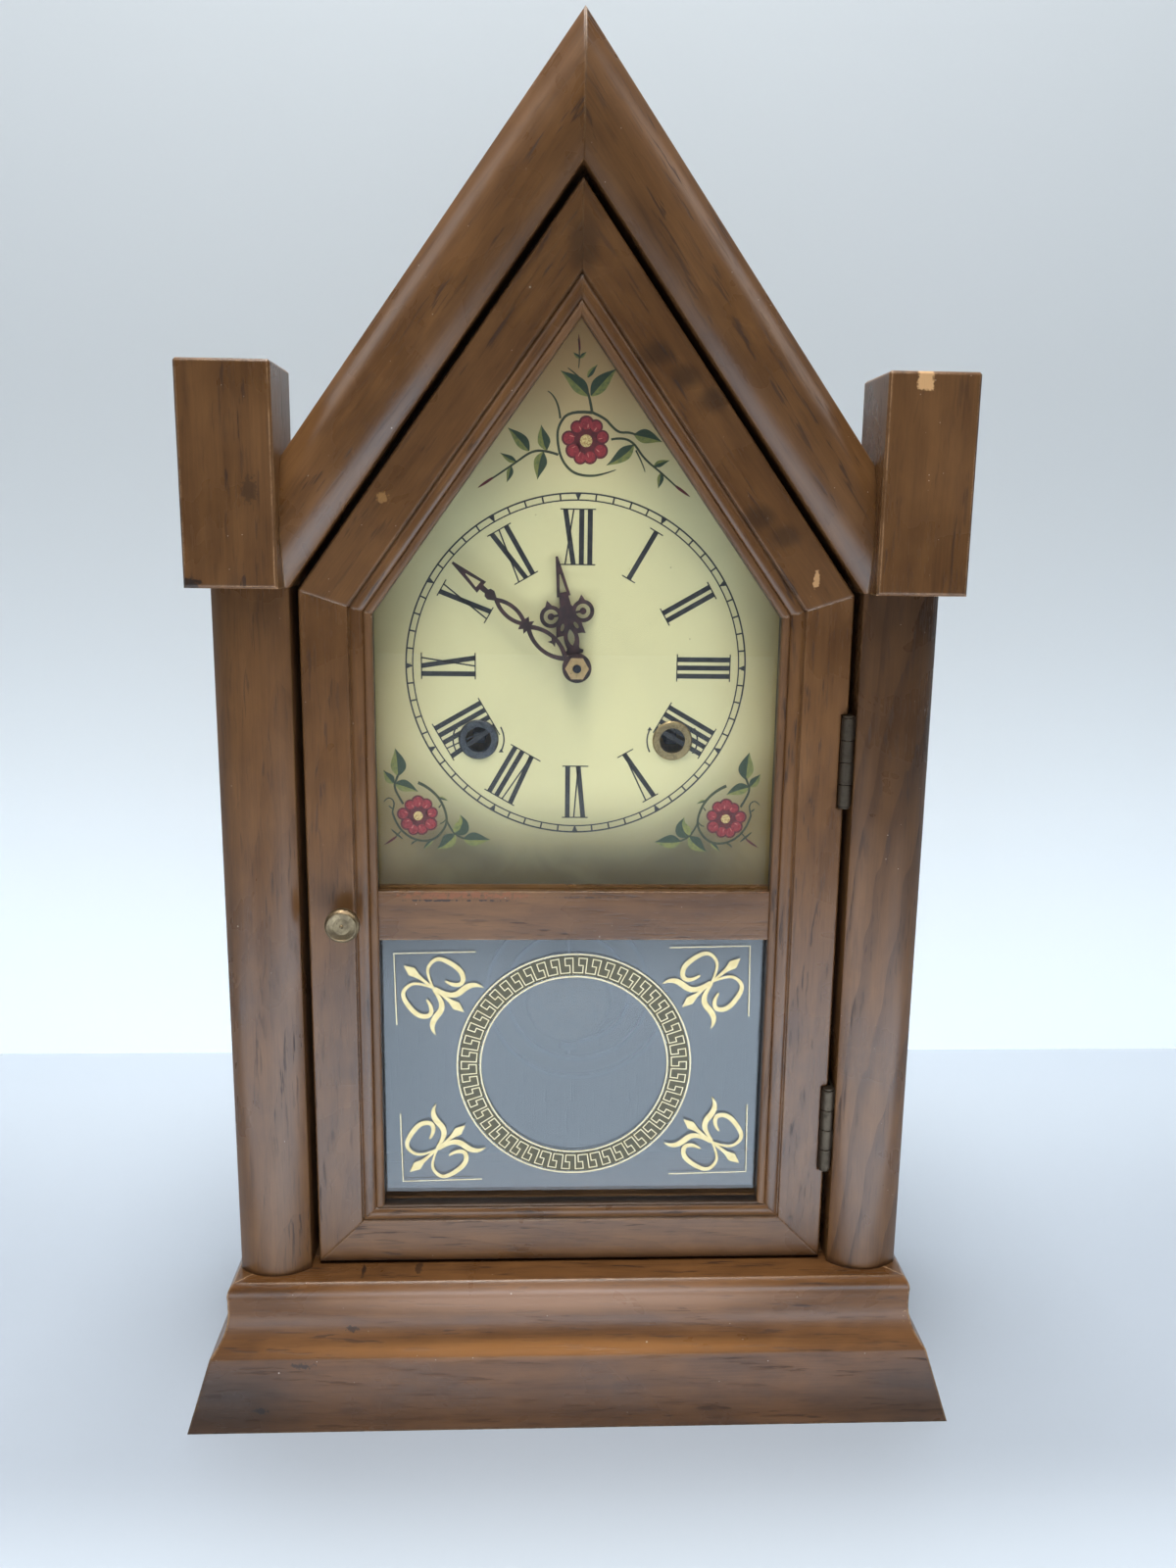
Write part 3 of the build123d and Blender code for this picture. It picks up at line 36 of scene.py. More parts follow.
Point = tuple[float, float]
Triple = tuple[float, float, float]
Colour = Triple
Work = bmesh.types.BMesh
Geometry = Iterable[Union[bmesh.types.BMVert, bmesh.types.BMEdge, bmesh.types.BMFace]]
Corners = list[bmesh.types.BMVert]
Material = bpy.types.Material
Mesh = bpy.types.Mesh
Node = bpy.types.Node
Socket = bpy.types.NodeSocket
Sockets = bpy.types.bpy_prop_collection
Feed = Union[Socket, float, Sequence[float]]
Feeds = dict[Union[str, int], Feed]

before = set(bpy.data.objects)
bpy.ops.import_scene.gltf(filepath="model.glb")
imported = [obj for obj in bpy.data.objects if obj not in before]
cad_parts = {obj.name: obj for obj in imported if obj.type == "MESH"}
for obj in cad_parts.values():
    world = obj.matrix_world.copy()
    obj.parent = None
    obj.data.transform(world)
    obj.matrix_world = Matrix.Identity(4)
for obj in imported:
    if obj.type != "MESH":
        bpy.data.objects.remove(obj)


def rgba(colour: Colour) -> tuple[float, float, float, float]:
    """A colour with full alpha."""
    return (*colour, 1.0)


class Grain(Enum):
    """Direction in which the wood's fibres run, as the turn that lays them along X."""

    ACROSS = (0.0, 0.0, 0.0)
    UPRIGHT = (0.0, math.pi / 2, 0.0)
    DEEP = (0.0, 0.0, -math.pi / 2)
    RAKE_LEFT = (0.0, RAKE, 0.0)
    RAKE_RIGHT = (0.0, -RAKE, 0.0)


class NodeScript:
    """Adds nodes to one node tree and joins them."""

    def __init__(self, tree: bpy.types.NodeTree) -> None:
        """Keep the tree that the nodes go into."""
        self.tree = tree

    def node(self, kind: str, inputs: Feeds | None = None, **settings: object) -> Node:
        """Add one node.

        Args:
            kind: Blender's name for the node type.
            inputs: What each named or numbered input is fed with.
            settings: Properties of the node itself.

        Returns:
            The new node.
        """
        made = self.tree.nodes.new(kind)
        for key, value in settings.items():
            setattr(made, key, value)
        self.fill(made, inputs or {})
        return made

    def fill(self, node: Node, inputs: Feeds) -> None:
        """Link each of the inputs to a socket, or set its value.

        Args:
            node: The node that takes them.
            inputs: What each named or numbered input is fed with.
        """
        for key, value in inputs.items():
            if isinstance(value, Socket):
                self.tree.links.new(value, node.inputs[key])
            else:
                node.inputs[key].default_value = value

    def show(self, shader: Node) -> None:
        """Send a shader to the tree's output."""
        out = next(node for node in self.tree.nodes if node.bl_idname.startswith("ShaderNodeOutput"))
        self.fill(out, {"Surface": shader.outputs[0]})

    def either(self, share: Feed, first: Node, second: Node) -> None:
        """Send a mix of two shaders to the tree's output."""
        self.show(self.node("ShaderNodeMixShader", {0: share, 1: first.outputs[0], 2: second.outputs[0]}))

    def math(self, operation: str, first: Feed, second: Feed = 0.0) -> Socket:
        """The result of one sum on numbers."""
        return self.node("ShaderNodeMath", {0: first, 1: second}, operation=operation).outputs[0]

    def times(self, first: Feed, second: Feed) -> Socket:
        """The product of two numbers."""
        return self.math("MULTIPLY", first, second)

    def plus(self, first: Feed, second: Feed) -> Socket:
        """The sum of two numbers."""
        return self.math("ADD", first, second)

    def span(self, value: Feed, low: float, high: float, start: float = 0.0, end: float = 1.0) -> Socket:
        """A number carried smoothly from one range to another and held there."""
        inputs = {0: value, 1: low, 2: high, 3: start, 4: end}
        return self.node("ShaderNodeMapRange", inputs, interpolation_type="SMOOTHSTEP").outputs[0]

    def blend(self, amount: Feed, first: Feed, second: Feed, kind: str = "MIX") -> Socket:
        """Two colours mixed by an amount."""
        made = self.node("ShaderNodeMix", {0: amount, 6: first, 7: second}, data_type="RGBA", blend_type=kind)
        return made.outputs[2]

    def stain(self, amount: Feed, colour: Feed, tint: Colour) -> Socket:
        """A colour that a tint darkens by an amount."""
        return self.blend(amount, colour, self.blend(1.0, colour, rgba(tint), "MULTIPLY"))

    def bump(self, strength: float, distance: float, **inputs: Feed) -> Socket:
        """A normal bent by a height."""
        inputs |= {"Strength": strength, "Distance": distance}
        return self.node("ShaderNodeBump", inputs).outputs[0]

    def place(self, vector: Feed, turn: Sequence[float] = (0, 0, 0), scale: Sequence[float] = (1, 1, 1),
              shift: Sequence[float] = (0, 0, 0)) -> Socket:
        """Coordinates turned, scaled and moved."""
        inputs = {"Vector": vector, "Rotation": turn, "Scale": scale, "Location": shift}
        return self.node("ShaderNodeMapping", inputs).outputs[0]

    def drawn(self, vector: Feed, share: float) -> Socket:
        """Coordinates that draw out what they place along X."""
        return self.place(vector, scale=(share, 1, 1))

    def noise(self, vector: Feed, scale: float, detail: float = 3.0, rough: float = 0.5,
              warp: float = 0.0) -> Socket:
        """Cloudy noise between nought and one."""
        inputs = {"Vector": vector, "Scale": scale, "Detail": detail, "Roughness": rough, "Distortion": warp}
        return self.node("ShaderNodeTexNoise", inputs).outputs[0]

    def specks(self, vector: Feed, scale: float, size: float, share: float) -> Socket:
        """Scattered round dots.

        Args:
            vector: Coordinates.
            scale: Cells to the metre.
            size: Radius of a dot as a share of a cell.
            share: Share of the cells that hold a dot.

        Returns:
            A mask that is one on the dots.
        """
        cells = self.node("ShaderNodeTexVoronoi", {"Vector": vector, "Scale": scale})
        near = self.span(cells.outputs["Distance"], size, size * 0.5)
        chosen = self.node("ShaderNodeSeparateColor", {0: cells.outputs["Color"]}).outputs[0]
        return self.times(near, self.math("GREATER_THAN", chosen, 1.0 - share))


class NodeGroup:
    """A shader node group that is built once and placed in many materials."""

    def __init__(self, name: str, inputs: dict[str, str], outputs: dict[str, str],
                 build: Callable[[NodeScript, Sockets], dict[str, Socket]]) -> None:
        """Make the group.

        Args:
            name: Name of the group.
            inputs: Socket type of each named input.
            outputs: Socket type of each named output.
            build: Adds the nodes and returns the sockets that feed the outputs.
        """
        self.tree = bpy.data.node_groups.new(name, "ShaderNodeTree")
        for way, sockets in (("INPUT", inputs), ("OUTPUT", outputs)):
            for label, kind in sockets.items():
                self.tree.interface.new_socket(name=label, in_out=way, socket_type=f"NodeSocket{kind}")
        script = NodeScript(self.tree)
        script.node("NodeGroupOutput", build(script, script.node("NodeGroupInput").outputs))

    def placed(self, script: NodeScript, inputs: dict[str, Feed]) -> Sockets:
        """The outputs of this group, placed in a material with its own values."""
        return script.node("ShaderNodeGroup", inputs, node_tree=self.tree).outputs


FIGURE_TINT: Colour = (0.42, 0.36, 0.3)
PORE_TINT: Colour = (0.22, 0.17, 0.14)
SMUDGE_TINT: Colour = (0.4, 0.37, 0.35)
RUBBED_RADIUS = 1.1 * MM


def build_grain(s: NodeScript, given: Sockets) -> dict[str, Socket]:
    """Wood fibres along X: figure, streaks, open pores and smudges of stain.

    Args:
        s: Writes the nodes.
        given: The group's inputs.

    Returns:
        Colour, roughness and height of the wood.
    """
    at = given["Vector"]
    long = s.drawn(at, 0.05)
    streak = s.noise(long, 260.0, 5.0, 0.6, 0.4)
    fibre = s.noise(s.drawn(at, 0.025), 1500.0, 3.0, 0.6)
    rings = s.node("ShaderNodeTexWave", {
        "Vector": s.drawn(at, 0.16), "Scale": 62.0, "Distortion": 5.5,
        "Detail": 2.5, "Detail Scale": 1.1, "Detail Roughness": 0.55,
    }, wave_type="BANDS", bands_direction="DIAGONAL", wave_profile="SAW").outputs["Fac"]
    figure = s.times(s.span(rings, 0.45, 1.0), given["Figure"])
    pores = s.span(s.noise(s.drawn(at, 0.09), 900.0, 2.0, 0.55), 0.54, 0.64)
    porous = s.span(s.noise(long, 70.0, 2.0), 0.35, 0.65, 0.25, 1.0)
    banded = s.span(rings, 0.4, 0.95, 0.25, 1.0)
    pores = s.times(s.times(pores, porous), banded)
    cloud = s.noise(at, 17.0, 4.0, 0.6, 0.6)
    smudge = s.span(s.noise(s.place(at, shift=(3, 5, 7)), 42.0, 5.0, 0.65, 1.2), 0.58, 0.78)
    mottle = s.noise(s.drawn(at, 0.35), 120.0, 4.0, 0.6, 0.3)
    uneven = s.plus(s.times(cloud, 0.55), s.times(mottle, 0.45))
    tone = s.blend(s.span(uneven, 0.3, 0.7, 0.3, 0.9), given["Dark"], given["Pale"])
    tone = s.blend(s.span(streak, 0.3, 0.7, 0.3, 0.0), tone, given["Dark"])
    tone = s.blend(s.times(s.span(fibre, 0.42, 0.68), 0.22), tone, given["Pale"])
    tone = s.stain(s.times(figure, 0.6), tone, FIGURE_TINT)
    tone = s.stain(s.times(pores, 0.85), tone, PORE_TINT)
    tone = s.stain(s.times(smudge, 0.32), tone, SMUDGE_TINT)
    height = s.math("SUBTRACT", s.times(fibre, 0.35), pores)
    height = s.math("SUBTRACT", height, s.times(figure, 0.3))
    rough = s.plus(s.span(cloud, 0.25, 0.75, -0.05, 0.07), s.times(pores, 0.2))
    return {"Color": tone, "Roughness": rough, "Height": height}


def build_wear(s: NodeScript, given: Sockets) -> dict[str, Socket]:
    """Rubbed edges, found where a slightly rounded normal leaves the true one.

    Args:
        s: Writes the nodes.
        given: The group's inputs.

    Returns:
        A mask of the bare edges and the rounded normal.
    """
    soft = s.node("ShaderNodeBevel", {"Radius": RUBBED_RADIUS}, samples=6).outputs[0]
    true = s.node("ShaderNodeNewGeometry").outputs["Normal"]
    turned = s.node("ShaderNodeVectorMath", {0: soft, 1: true}, operation="DOT_PRODUCT").outputs["Value"]
    edge = s.span(turned, 0.99, 0.86)
    patchy = s.span(s.noise(given["Vector"], 95.0, 4.0, 0.7), 0.4, 0.62, 0.2, 1.0)
    fine = s.span(s.noise(given["Vector"], 900.0, 2.0, 0.6), 0.3, 0.6, 0.4, 1.0)
    rubbed = s.times(s.times(patchy, fine), given["Amount"])
    mask = s.times(edge, s.math("MINIMUM", rubbed, 0.9))
    return {"Mask": mask, "Normal": soft}


def build_tarnish(s: NodeScript, given: Sockets) -> dict[str, Socket]:
    """Cloudy tarnish and fine scratches on metal.

    Args:
        s: Writes the nodes.
        given: The group's inputs.

    Returns:
        A mask of the dull places, a roughness to add and a height.
    """
    at = given["Vector"]
    cloud = s.span(s.noise(at, 230.0, 5.0, 0.65, 0.5), 0.4, 0.68)
    spots = s.span(s.noise(at, 900.0, 3.0, 0.6), 0.58, 0.7)
    dull = s.math("MAXIMUM", s.times(cloud, 0.8), spots)
    scratch = s.noise(s.drawn(at, 0.06), 3200.0, 2.0)
    rough = s.plus(s.times(dull, 0.22), s.times(scratch, 0.1))
    return {"Mask": dull, "Roughness": rough, "Height": scratch}


GRAIN = NodeGroup("wood_grain", {"Vector": "Vector", "Dark": "Color", "Pale": "Color", "Figure": "Float"},
                  {"Color": "Color", "Roughness": "Float", "Height": "Float"}, build_grain)
WEAR = NodeGroup("edge_wear", {"Vector": "Vector", "Amount": "Float"},
                 {"Mask": "Float", "Normal": "Vector"}, build_wear)
TARNISH = NodeGroup("tarnish", {"Vector": "Vector"},
                    {"Mask": "Float", "Roughness": "Float", "Height": "Float"}, build_tarnish)


def new_material(name: str) -> tuple[Material, NodeScript, Node, Socket]:
    """An empty material.

    Args:
        name: Name of the material.

    Returns:
        The material, a writer for its nodes, its shader and its Object coordinates.
    """
    made = bpy.data.materials.new(name)
    made.use_nodes = True
    script = NodeScript(made.node_tree)
    shader = made.node_tree.nodes["Principled BSDF"]
    where = script.node("ShaderNodeTexCoord").outputs["Object"]
    return made, script, shader, where


@dataclass(frozen=True)
class Mark:
    """A chip, scuff or smudge on a wooden face, or a patch of painted light or shade: its place and half
    sizes in millimetres, and its colour.
    """

    place: Triple
    across: float
    up: float
    colour: Colour = (0.5, 0.3, 0.14)
    strength: float = 1.0
    square: bool = False
    soft: bool = False
    deep: float = 4.0

    def mask(self, s: NodeScript, where: Socket) -> Socket:
        """A soft or ragged patch about the mark's place.

        Args:
            s: Writes the nodes.
            where: Object coordinates.

        Returns:
            A mask that has the mark's strength in its middle.
        """
        size = (1 / (self.across * MM), 1 / (self.deep * MM), 1 / (self.up * MM))
        about = s.place(where, scale=size, shift=tuple(-p * MM * k for p, k in zip(self.place, size)))
        far = s.node("ShaderNodeVectorMath", {0: about}, operation="LENGTH").outputs["Value"]
        if self.square:
            parts = s.node("ShaderNodeSeparateXYZ", {0: about}).outputs
            sides = [s.math("ABSOLUTE", part) for part in parts]
            far = s.math("MAXIMUM", s.math("MAXIMUM", sides[0], sides[1]), sides[2])
        if self.soft:
            return s.span(far, 1.0, 0.25, 0.0, self.strength)
        rough = 0.2 if self.square else 0.45
        ragged = s.plus(far, s.span(s.noise(where, 650.0, 4.0, 0.65), 0.25, 0.75, -rough, rough))
        return s.span(ragged, 1.05, 0.8, 0.0, self.strength)


SMUDGE: Colour = (0.012, 0.009, 0.008)
# Dark brown, used as painted shade on the right column and as dark stain on the door's rakes.
SHADE_AND_STAIN: Colour = (0.022, 0.012, 0.0065)
# Half size in millimetres of a mark that covers a whole piece.
EVERYWHERE = 2000


@dataclass(frozen=True)
class WoodFinish:
    """Stained and lacquered wood."""

    name: str
    grain: Grain
    seed: float = 0.0
    dark: Colour = (0.040, 0.0157, 0.0058)
    pale: Colour = (0.152, 0.072, 0.0243)
    bare: Colour = (0.5, 0.3, 0.15)
    dust: Colour = (0.62, 0.56, 0.47)
    figure: float = 0.25
    wear: float = 0.4
    roughness: float = 0.28
    coat: float = 0.05
    specks: float = 0.5
    marks: tuple[Mark, ...] = ()

    def material(self) -> Material:
        """Build the material.

        Returns:
            The material.
        """
        made, s, shader, where = new_material(self.name)
        along = s.place(where, turn=self.grain.value, shift=(self.seed, self.seed * 0.37, self.seed * 0.71))
        wood = GRAIN.placed(s, {"Vector": along, "Dark": rgba(self.dark), "Pale": rgba(self.pale),
                                "Figure": self.figure})
        worn = WEAR.placed(s, {"Vector": along, "Amount": self.wear})
        bare = worn["Mask"]
        colour = s.blend(bare, wood["Color"], rgba(self.bare))
        for mark in self.marks:
            colour = s.blend(mark.mask(s, where), colour, rgba(mark.colour))
        share = 0.12 * self.specks
        dots = s.specks(where, 170.0, 0.065, share)
        fine = s.specks(s.place(where, shift=(0.3, 0.2, 0.1)), 420.0, 0.085, share)
        colour = s.blend(s.times(s.math("MAXIMUM", dots, fine), 0.7), colour, rgba(self.dust))
        dry = s.plus(s.times(bare, 0.3), self.roughness)
        s.fill(shader, {
            "Base Color": colour, "Roughness": s.plus(dry, wood["Roughness"]), "Specular IOR Level": 0.45,
            "Coat Weight": self.coat, "Coat Roughness": 0.15,
            "Normal": s.bump(0.16, 0.3 * MM, Height=wood["Height"], Normal=worn["Normal"]),
        })
        return made


@dataclass(frozen=True)
class MetalFinish:
    """Bare metal with some tarnish."""

    name: str
    bright: Colour
    dull: Colour
    roughness: float = 0.3
    bump: float = 0.15

    def material(self) -> Material:
        """Build the material.

        Returns:
            The material.
        """
        made, s, shader, where = new_material(self.name)
        aged = TARNISH.placed(s, {"Vector": where})
        soft = s.node("ShaderNodeBevel", {"Radius": 0.3 * MM}, samples=4).outputs[0]
        s.fill(shader, {
            "Base Color": s.blend(aged["Mask"], rgba(self.bright), rgba(self.dull)),
            "Roughness": s.plus(aged["Roughness"], self.roughness), "Metallic": 1.0,
            "Normal": s.bump(self.bump, 0.1 * MM, Height=aged["Height"], Normal=soft),
        })
        return made


@dataclass(frozen=True)
class PaintFinish:
    """Opaque paint or printing ink with slight mottling."""

    name: str
    colour: Colour
    shade: Colour
    roughness: float = 0.45
    scale: float = 420.0
    low: float = 0.4
    high: float = 0.65

    def material(self) -> Material:
        """Build the material.

        Returns:
            The material.
        """
        made, s, shader, where = new_material(self.name)
        mottle = s.span(s.noise(where, self.scale, 4.0, 0.6, 0.4), self.low, self.high)
        s.fill(shader, {
            "Base Color": s.blend(mottle, rgba(self.colour), rgba(self.shade)),
            "Roughness": s.span(mottle, 0.0, 1.0, self.roughness, self.roughness + 0.12),
        })
        return made


@dataclass(frozen=True)
class DialFinish:
    """Aged cream paint on sheet metal, darker towards its top, foot and sides: partly the paint's own
    spraying, partly painted shade cast by the door's frame.
    """

    name: str
    centre: Triple
    cream: Colour = (0.625, 0.565, 0.315)
    olive: Colour = (0.078, 0.055, 0.0145)
    amber: Colour = (0.28, 0.18, 0.054)
    beige: Colour = (0.4, 0.21, 0.076)
    stained: Colour = (0.42, 0.36, 0.18)
    foxed: Colour = (0.12, 0.085, 0.045)

    def material(self) -> Material:
        """Build the material.

        Returns:
            The material.
        """
        made, s, shader, where = new_material(self.name)
        about = s.place(where, shift=tuple(-c for c in self.centre))
        parts = s.node("ShaderNodeSeparateXYZ", {0: about}).outputs
        corner = s.times(s.span(s.math("ABSOLUTE", parts[0]), 0.02, 0.075), 0.02)
        low = s.span(s.math("SUBTRACT", parts[2], corner), -0.042, -0.08)
        high = s.span(parts[2], 0.052, 0.118)
        sides = s.span(s.math("ABSOLUTE", parts[0]), 0.044, 0.082, 0.0, 0.66)
        # Partly painted shade: the cream darkens towards the foot, the top and the sides.
        colour = s.blend(s.times(low, 0.95), rgba(self.cream), rgba(self.olive))
        colour = s.blend(s.times(high, 0.9), colour, rgba(self.beige))
        colour = s.blend(sides, colour, rgba(self.amber))
        stain = s.span(s.noise(where, 30.0, 5.0, 0.6, 0.8), 0.45, 0.75)
        colour = s.blend(s.times(stain, 0.16), colour, rgba(self.stained))
        dots = s.specks(where, 260.0, 0.09, 0.07)
        fine = s.specks(s.place(where, shift=(0.4, 0.1, 0.7)), 700.0, 0.13, 0.05)
        foxing = s.math("MAXIMUM", s.times(dots, 0.7), s.times(fine, 0.45))
        s.fill(shader, {
            "Base Color": s.blend(foxing, colour, rgba(self.foxed)),
            "Roughness": s.span(stain, 0.0, 1.0, 0.36, 0.5),
            "Normal": s.bump(0.06, 2 * MM, Height=s.noise(where, 55.0, 2.0)),
        })
        return made


@dataclass(frozen=True)
class GlassFinish:
    """Clear sheet glass that lets light through to what is behind it."""

    name: str
    dust: float = 0.04
    tint: Colour = (0.97, 0.985, 0.975)
    shadow: Colour = (0.96, 0.98, 0.97)

    def material(self) -> Material:
        """Build the material.

        Returns:
            The material.
        """
        made, s, shader, where = new_material(self.name)
        film = s.span(s.noise(where, 60.0, 5.0, 0.65, 0.8), 0.5, 0.8, 0.0, self.dust)
        s.fill(shader, {"Base Color": rgba(self.tint), "Transmission Weight": 1.0, "IOR": 1.5,
                        "Roughness": film})
        ray = s.node("ShaderNodeLightPath").outputs["Is Shadow Ray"]
        s.either(ray, shader, s.node("ShaderNodeBsdfTransparent", {0: rgba(self.shadow)}))
        return made


class Stroke:
    """Flat painted strokes, drawn with curves and laid on a plane that faces the front."""

    weld: float = 0.00005 * MM

    def __init__(self, name: str, y: float, film: float = 0.06 * MM) -> None:
        """Start an empty set of strokes.

        Args:
            name: Name of the finished piece.
            y: Depth of the face that carries the strokes.
            film: Thickness of the paint, which stands out towards the front.
        """
        self.name = name
        self.y = y
        self.film = film
        self.curve = bpy.data.curves.new(name, "CURVE")
        self.curve.dimensions = "3D"
        self.curve.bevel_depth = 1.0
        self.curve.bevel_resolution = 1
        self.curve.resolution_u = 5
        self.curve.use_fill_caps = True

    def smooth(self, points: Iterable[Triple], closed: bool = False) -> None:
        """Add a smooth stroke through points of x, z and half width."""
        self._spline("NURBS", list(points), closed)

    def straight(self, points: Iterable[Triple], closed: bool = False) -> None:
        """Add a stroke with sharp corners through points of x, z and half width."""
        self._spline("POLY", list(points), closed)

    def _spline(self, kind: str, points: list[Triple], closed: bool) -> None:
        """Add one spline to the curve.

        Args:
            kind: Blender's name for the kind of spline.
            points: X, z and half width of each knot.
            closed: Whether it runs back to its start.
        """
        line = self.curve.splines.new(kind)
        line.points.add(len(points) - 1)
        for knot, (x, z, half) in zip(line.points, points):
            knot.co = (x, 0.0, z, 1.0)
            knot.radius = half
        if kind == "NURBS":
            line.order_u = 3
            line.use_endpoint_u = not closed
        line.use_cyclic_u = closed

    def mesh(self) -> Mesh:
        """Turn the strokes into a flat mesh at its place, with the end caps welded on.

        Returns:
            The strokes as one mesh.
        """
        drawn = bpy.data.objects.new(self.name + "_drawn", self.curve)
        bpy.context.scene.collection.objects.link(drawn)
        bpy.context.view_layer.update()
        held = drawn.evaluated_get(bpy.context.evaluated_depsgraph_get())
        made = bpy.data.meshes.new_from_object(held)
        bpy.data.objects.remove(drawn)
        work = bmesh.new()
        work.from_mesh(made)
        bmesh.ops.remove_doubles(work, verts=work.verts[:], dist=self.weld)
        work.to_mesh(made)
        work.free()
        widest = max((abs(v.co.y) for v in made.vertices), default=1.0)
        made.transform(Matrix.Diagonal((1, self.film / widest, 1, 1)))
        made.transform(Matrix.Translation((0, self.y, 0)))
        return made


def piece(name: str, mesh: Mesh, material: Material, body: str, smooth: bool = False) -> None:
    """Put a finished mesh into the scene on its body.

    Args:
        name: Name of the piece.
        mesh: Its mesh, with its place in it.
        material: Its material.
        body: The body that it rides on.
        smooth: Whether its faces are shaded smooth.
    """
    mesh.name = name
    mesh.materials.clear()
    mesh.materials.append(material)
    mesh.polygons.foreach_set("use_smooth", [smooth] * len(mesh.polygons))
    made = bpy.data.objects.new(name, mesh)
    bpy.context.scene.collection.objects.link(made)
    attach(made, body)
    LOG.info("piece %s: %d faces on %s", name, len(mesh.polygons), body)


def shaped(build: Callable[[Work], None]) -> Mesh:
    """A mesh shaped by a function that works on a bmesh.

    Args:
        build: Adds the shape to the bmesh.

    Returns:
        The mesh, with its faces pointing outwards.
    """
    work = bmesh.new()
    build(work)
    bmesh.ops.recalc_face_normals(work, faces=work.faces[:])
    made = bpy.data.meshes.new("shaped")
    work.to_mesh(made)
    work.free()
    return made


def block(work: Work, size: Sequence[float]) -> Corners:
    """Add a cuboid about the origin.

    Args:
        work: Mesh that takes it.
        size: Its three sides.

    Returns:
        Its corners.
    """
    made = bmesh.ops.create_cube(work, size=1.0)["verts"]
    bmesh.ops.scale(work, verts=made, vec=size)
    return made


def carry(work: Work, made: Corners, turn: float, place: Sequence[float]) -> None:
    """Turn corners about the Y axis, then carry them to a place."""
    bmesh.ops.rotate(work, verts=made, cent=(0, 0, 0), matrix=Matrix.Rotation(turn, 3, "Y"))
    bmesh.ops.translate(work, verts=made, vec=place)


def corners_in(geometry: Geometry) -> Corners:
    """The corners among what a bmesh operator made."""
    return [part for part in geometry if isinstance(part, bmesh.types.BMVert)]


def edges_at(made: Corners) -> list[bmesh.types.BMEdge]:
    """The edges that meet at corners."""
    return list({edge for corner in made for edge in corner.link_edges})


def faces_at(made: Corners) -> list[bmesh.types.BMFace]:
    """The faces that meet at corners."""
    return list({face for corner in made for face in corner.link_faces})


def dress(nodes: Iterable[str], material: Material) -> None:
    """Give CAD nodes a material.

    Args:
        nodes: Names of the nodes.
        material: The material that takes the place of theirs.
    """
    for name in nodes:
        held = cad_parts[name].data.materials
        held.clear()
        held.append(material)
        LOG.info("node %s: %s", name, material.name)


def dress_wood(plans: dict[str, WoodFinish]) -> None:
    """Give each wooden node the finish that is planned for it."""
    for node, finish in plans.items():
        dress([node], finish.material())


def polar(centre: Point, radius: float, clock: float) -> Point:
    """A point at a radius and a clockwise angle in degrees from twelve."""
    turn = math.radians(clock)
    return (centre[0] + radius * math.sin(turn), centre[1] + radius * math.cos(turn))


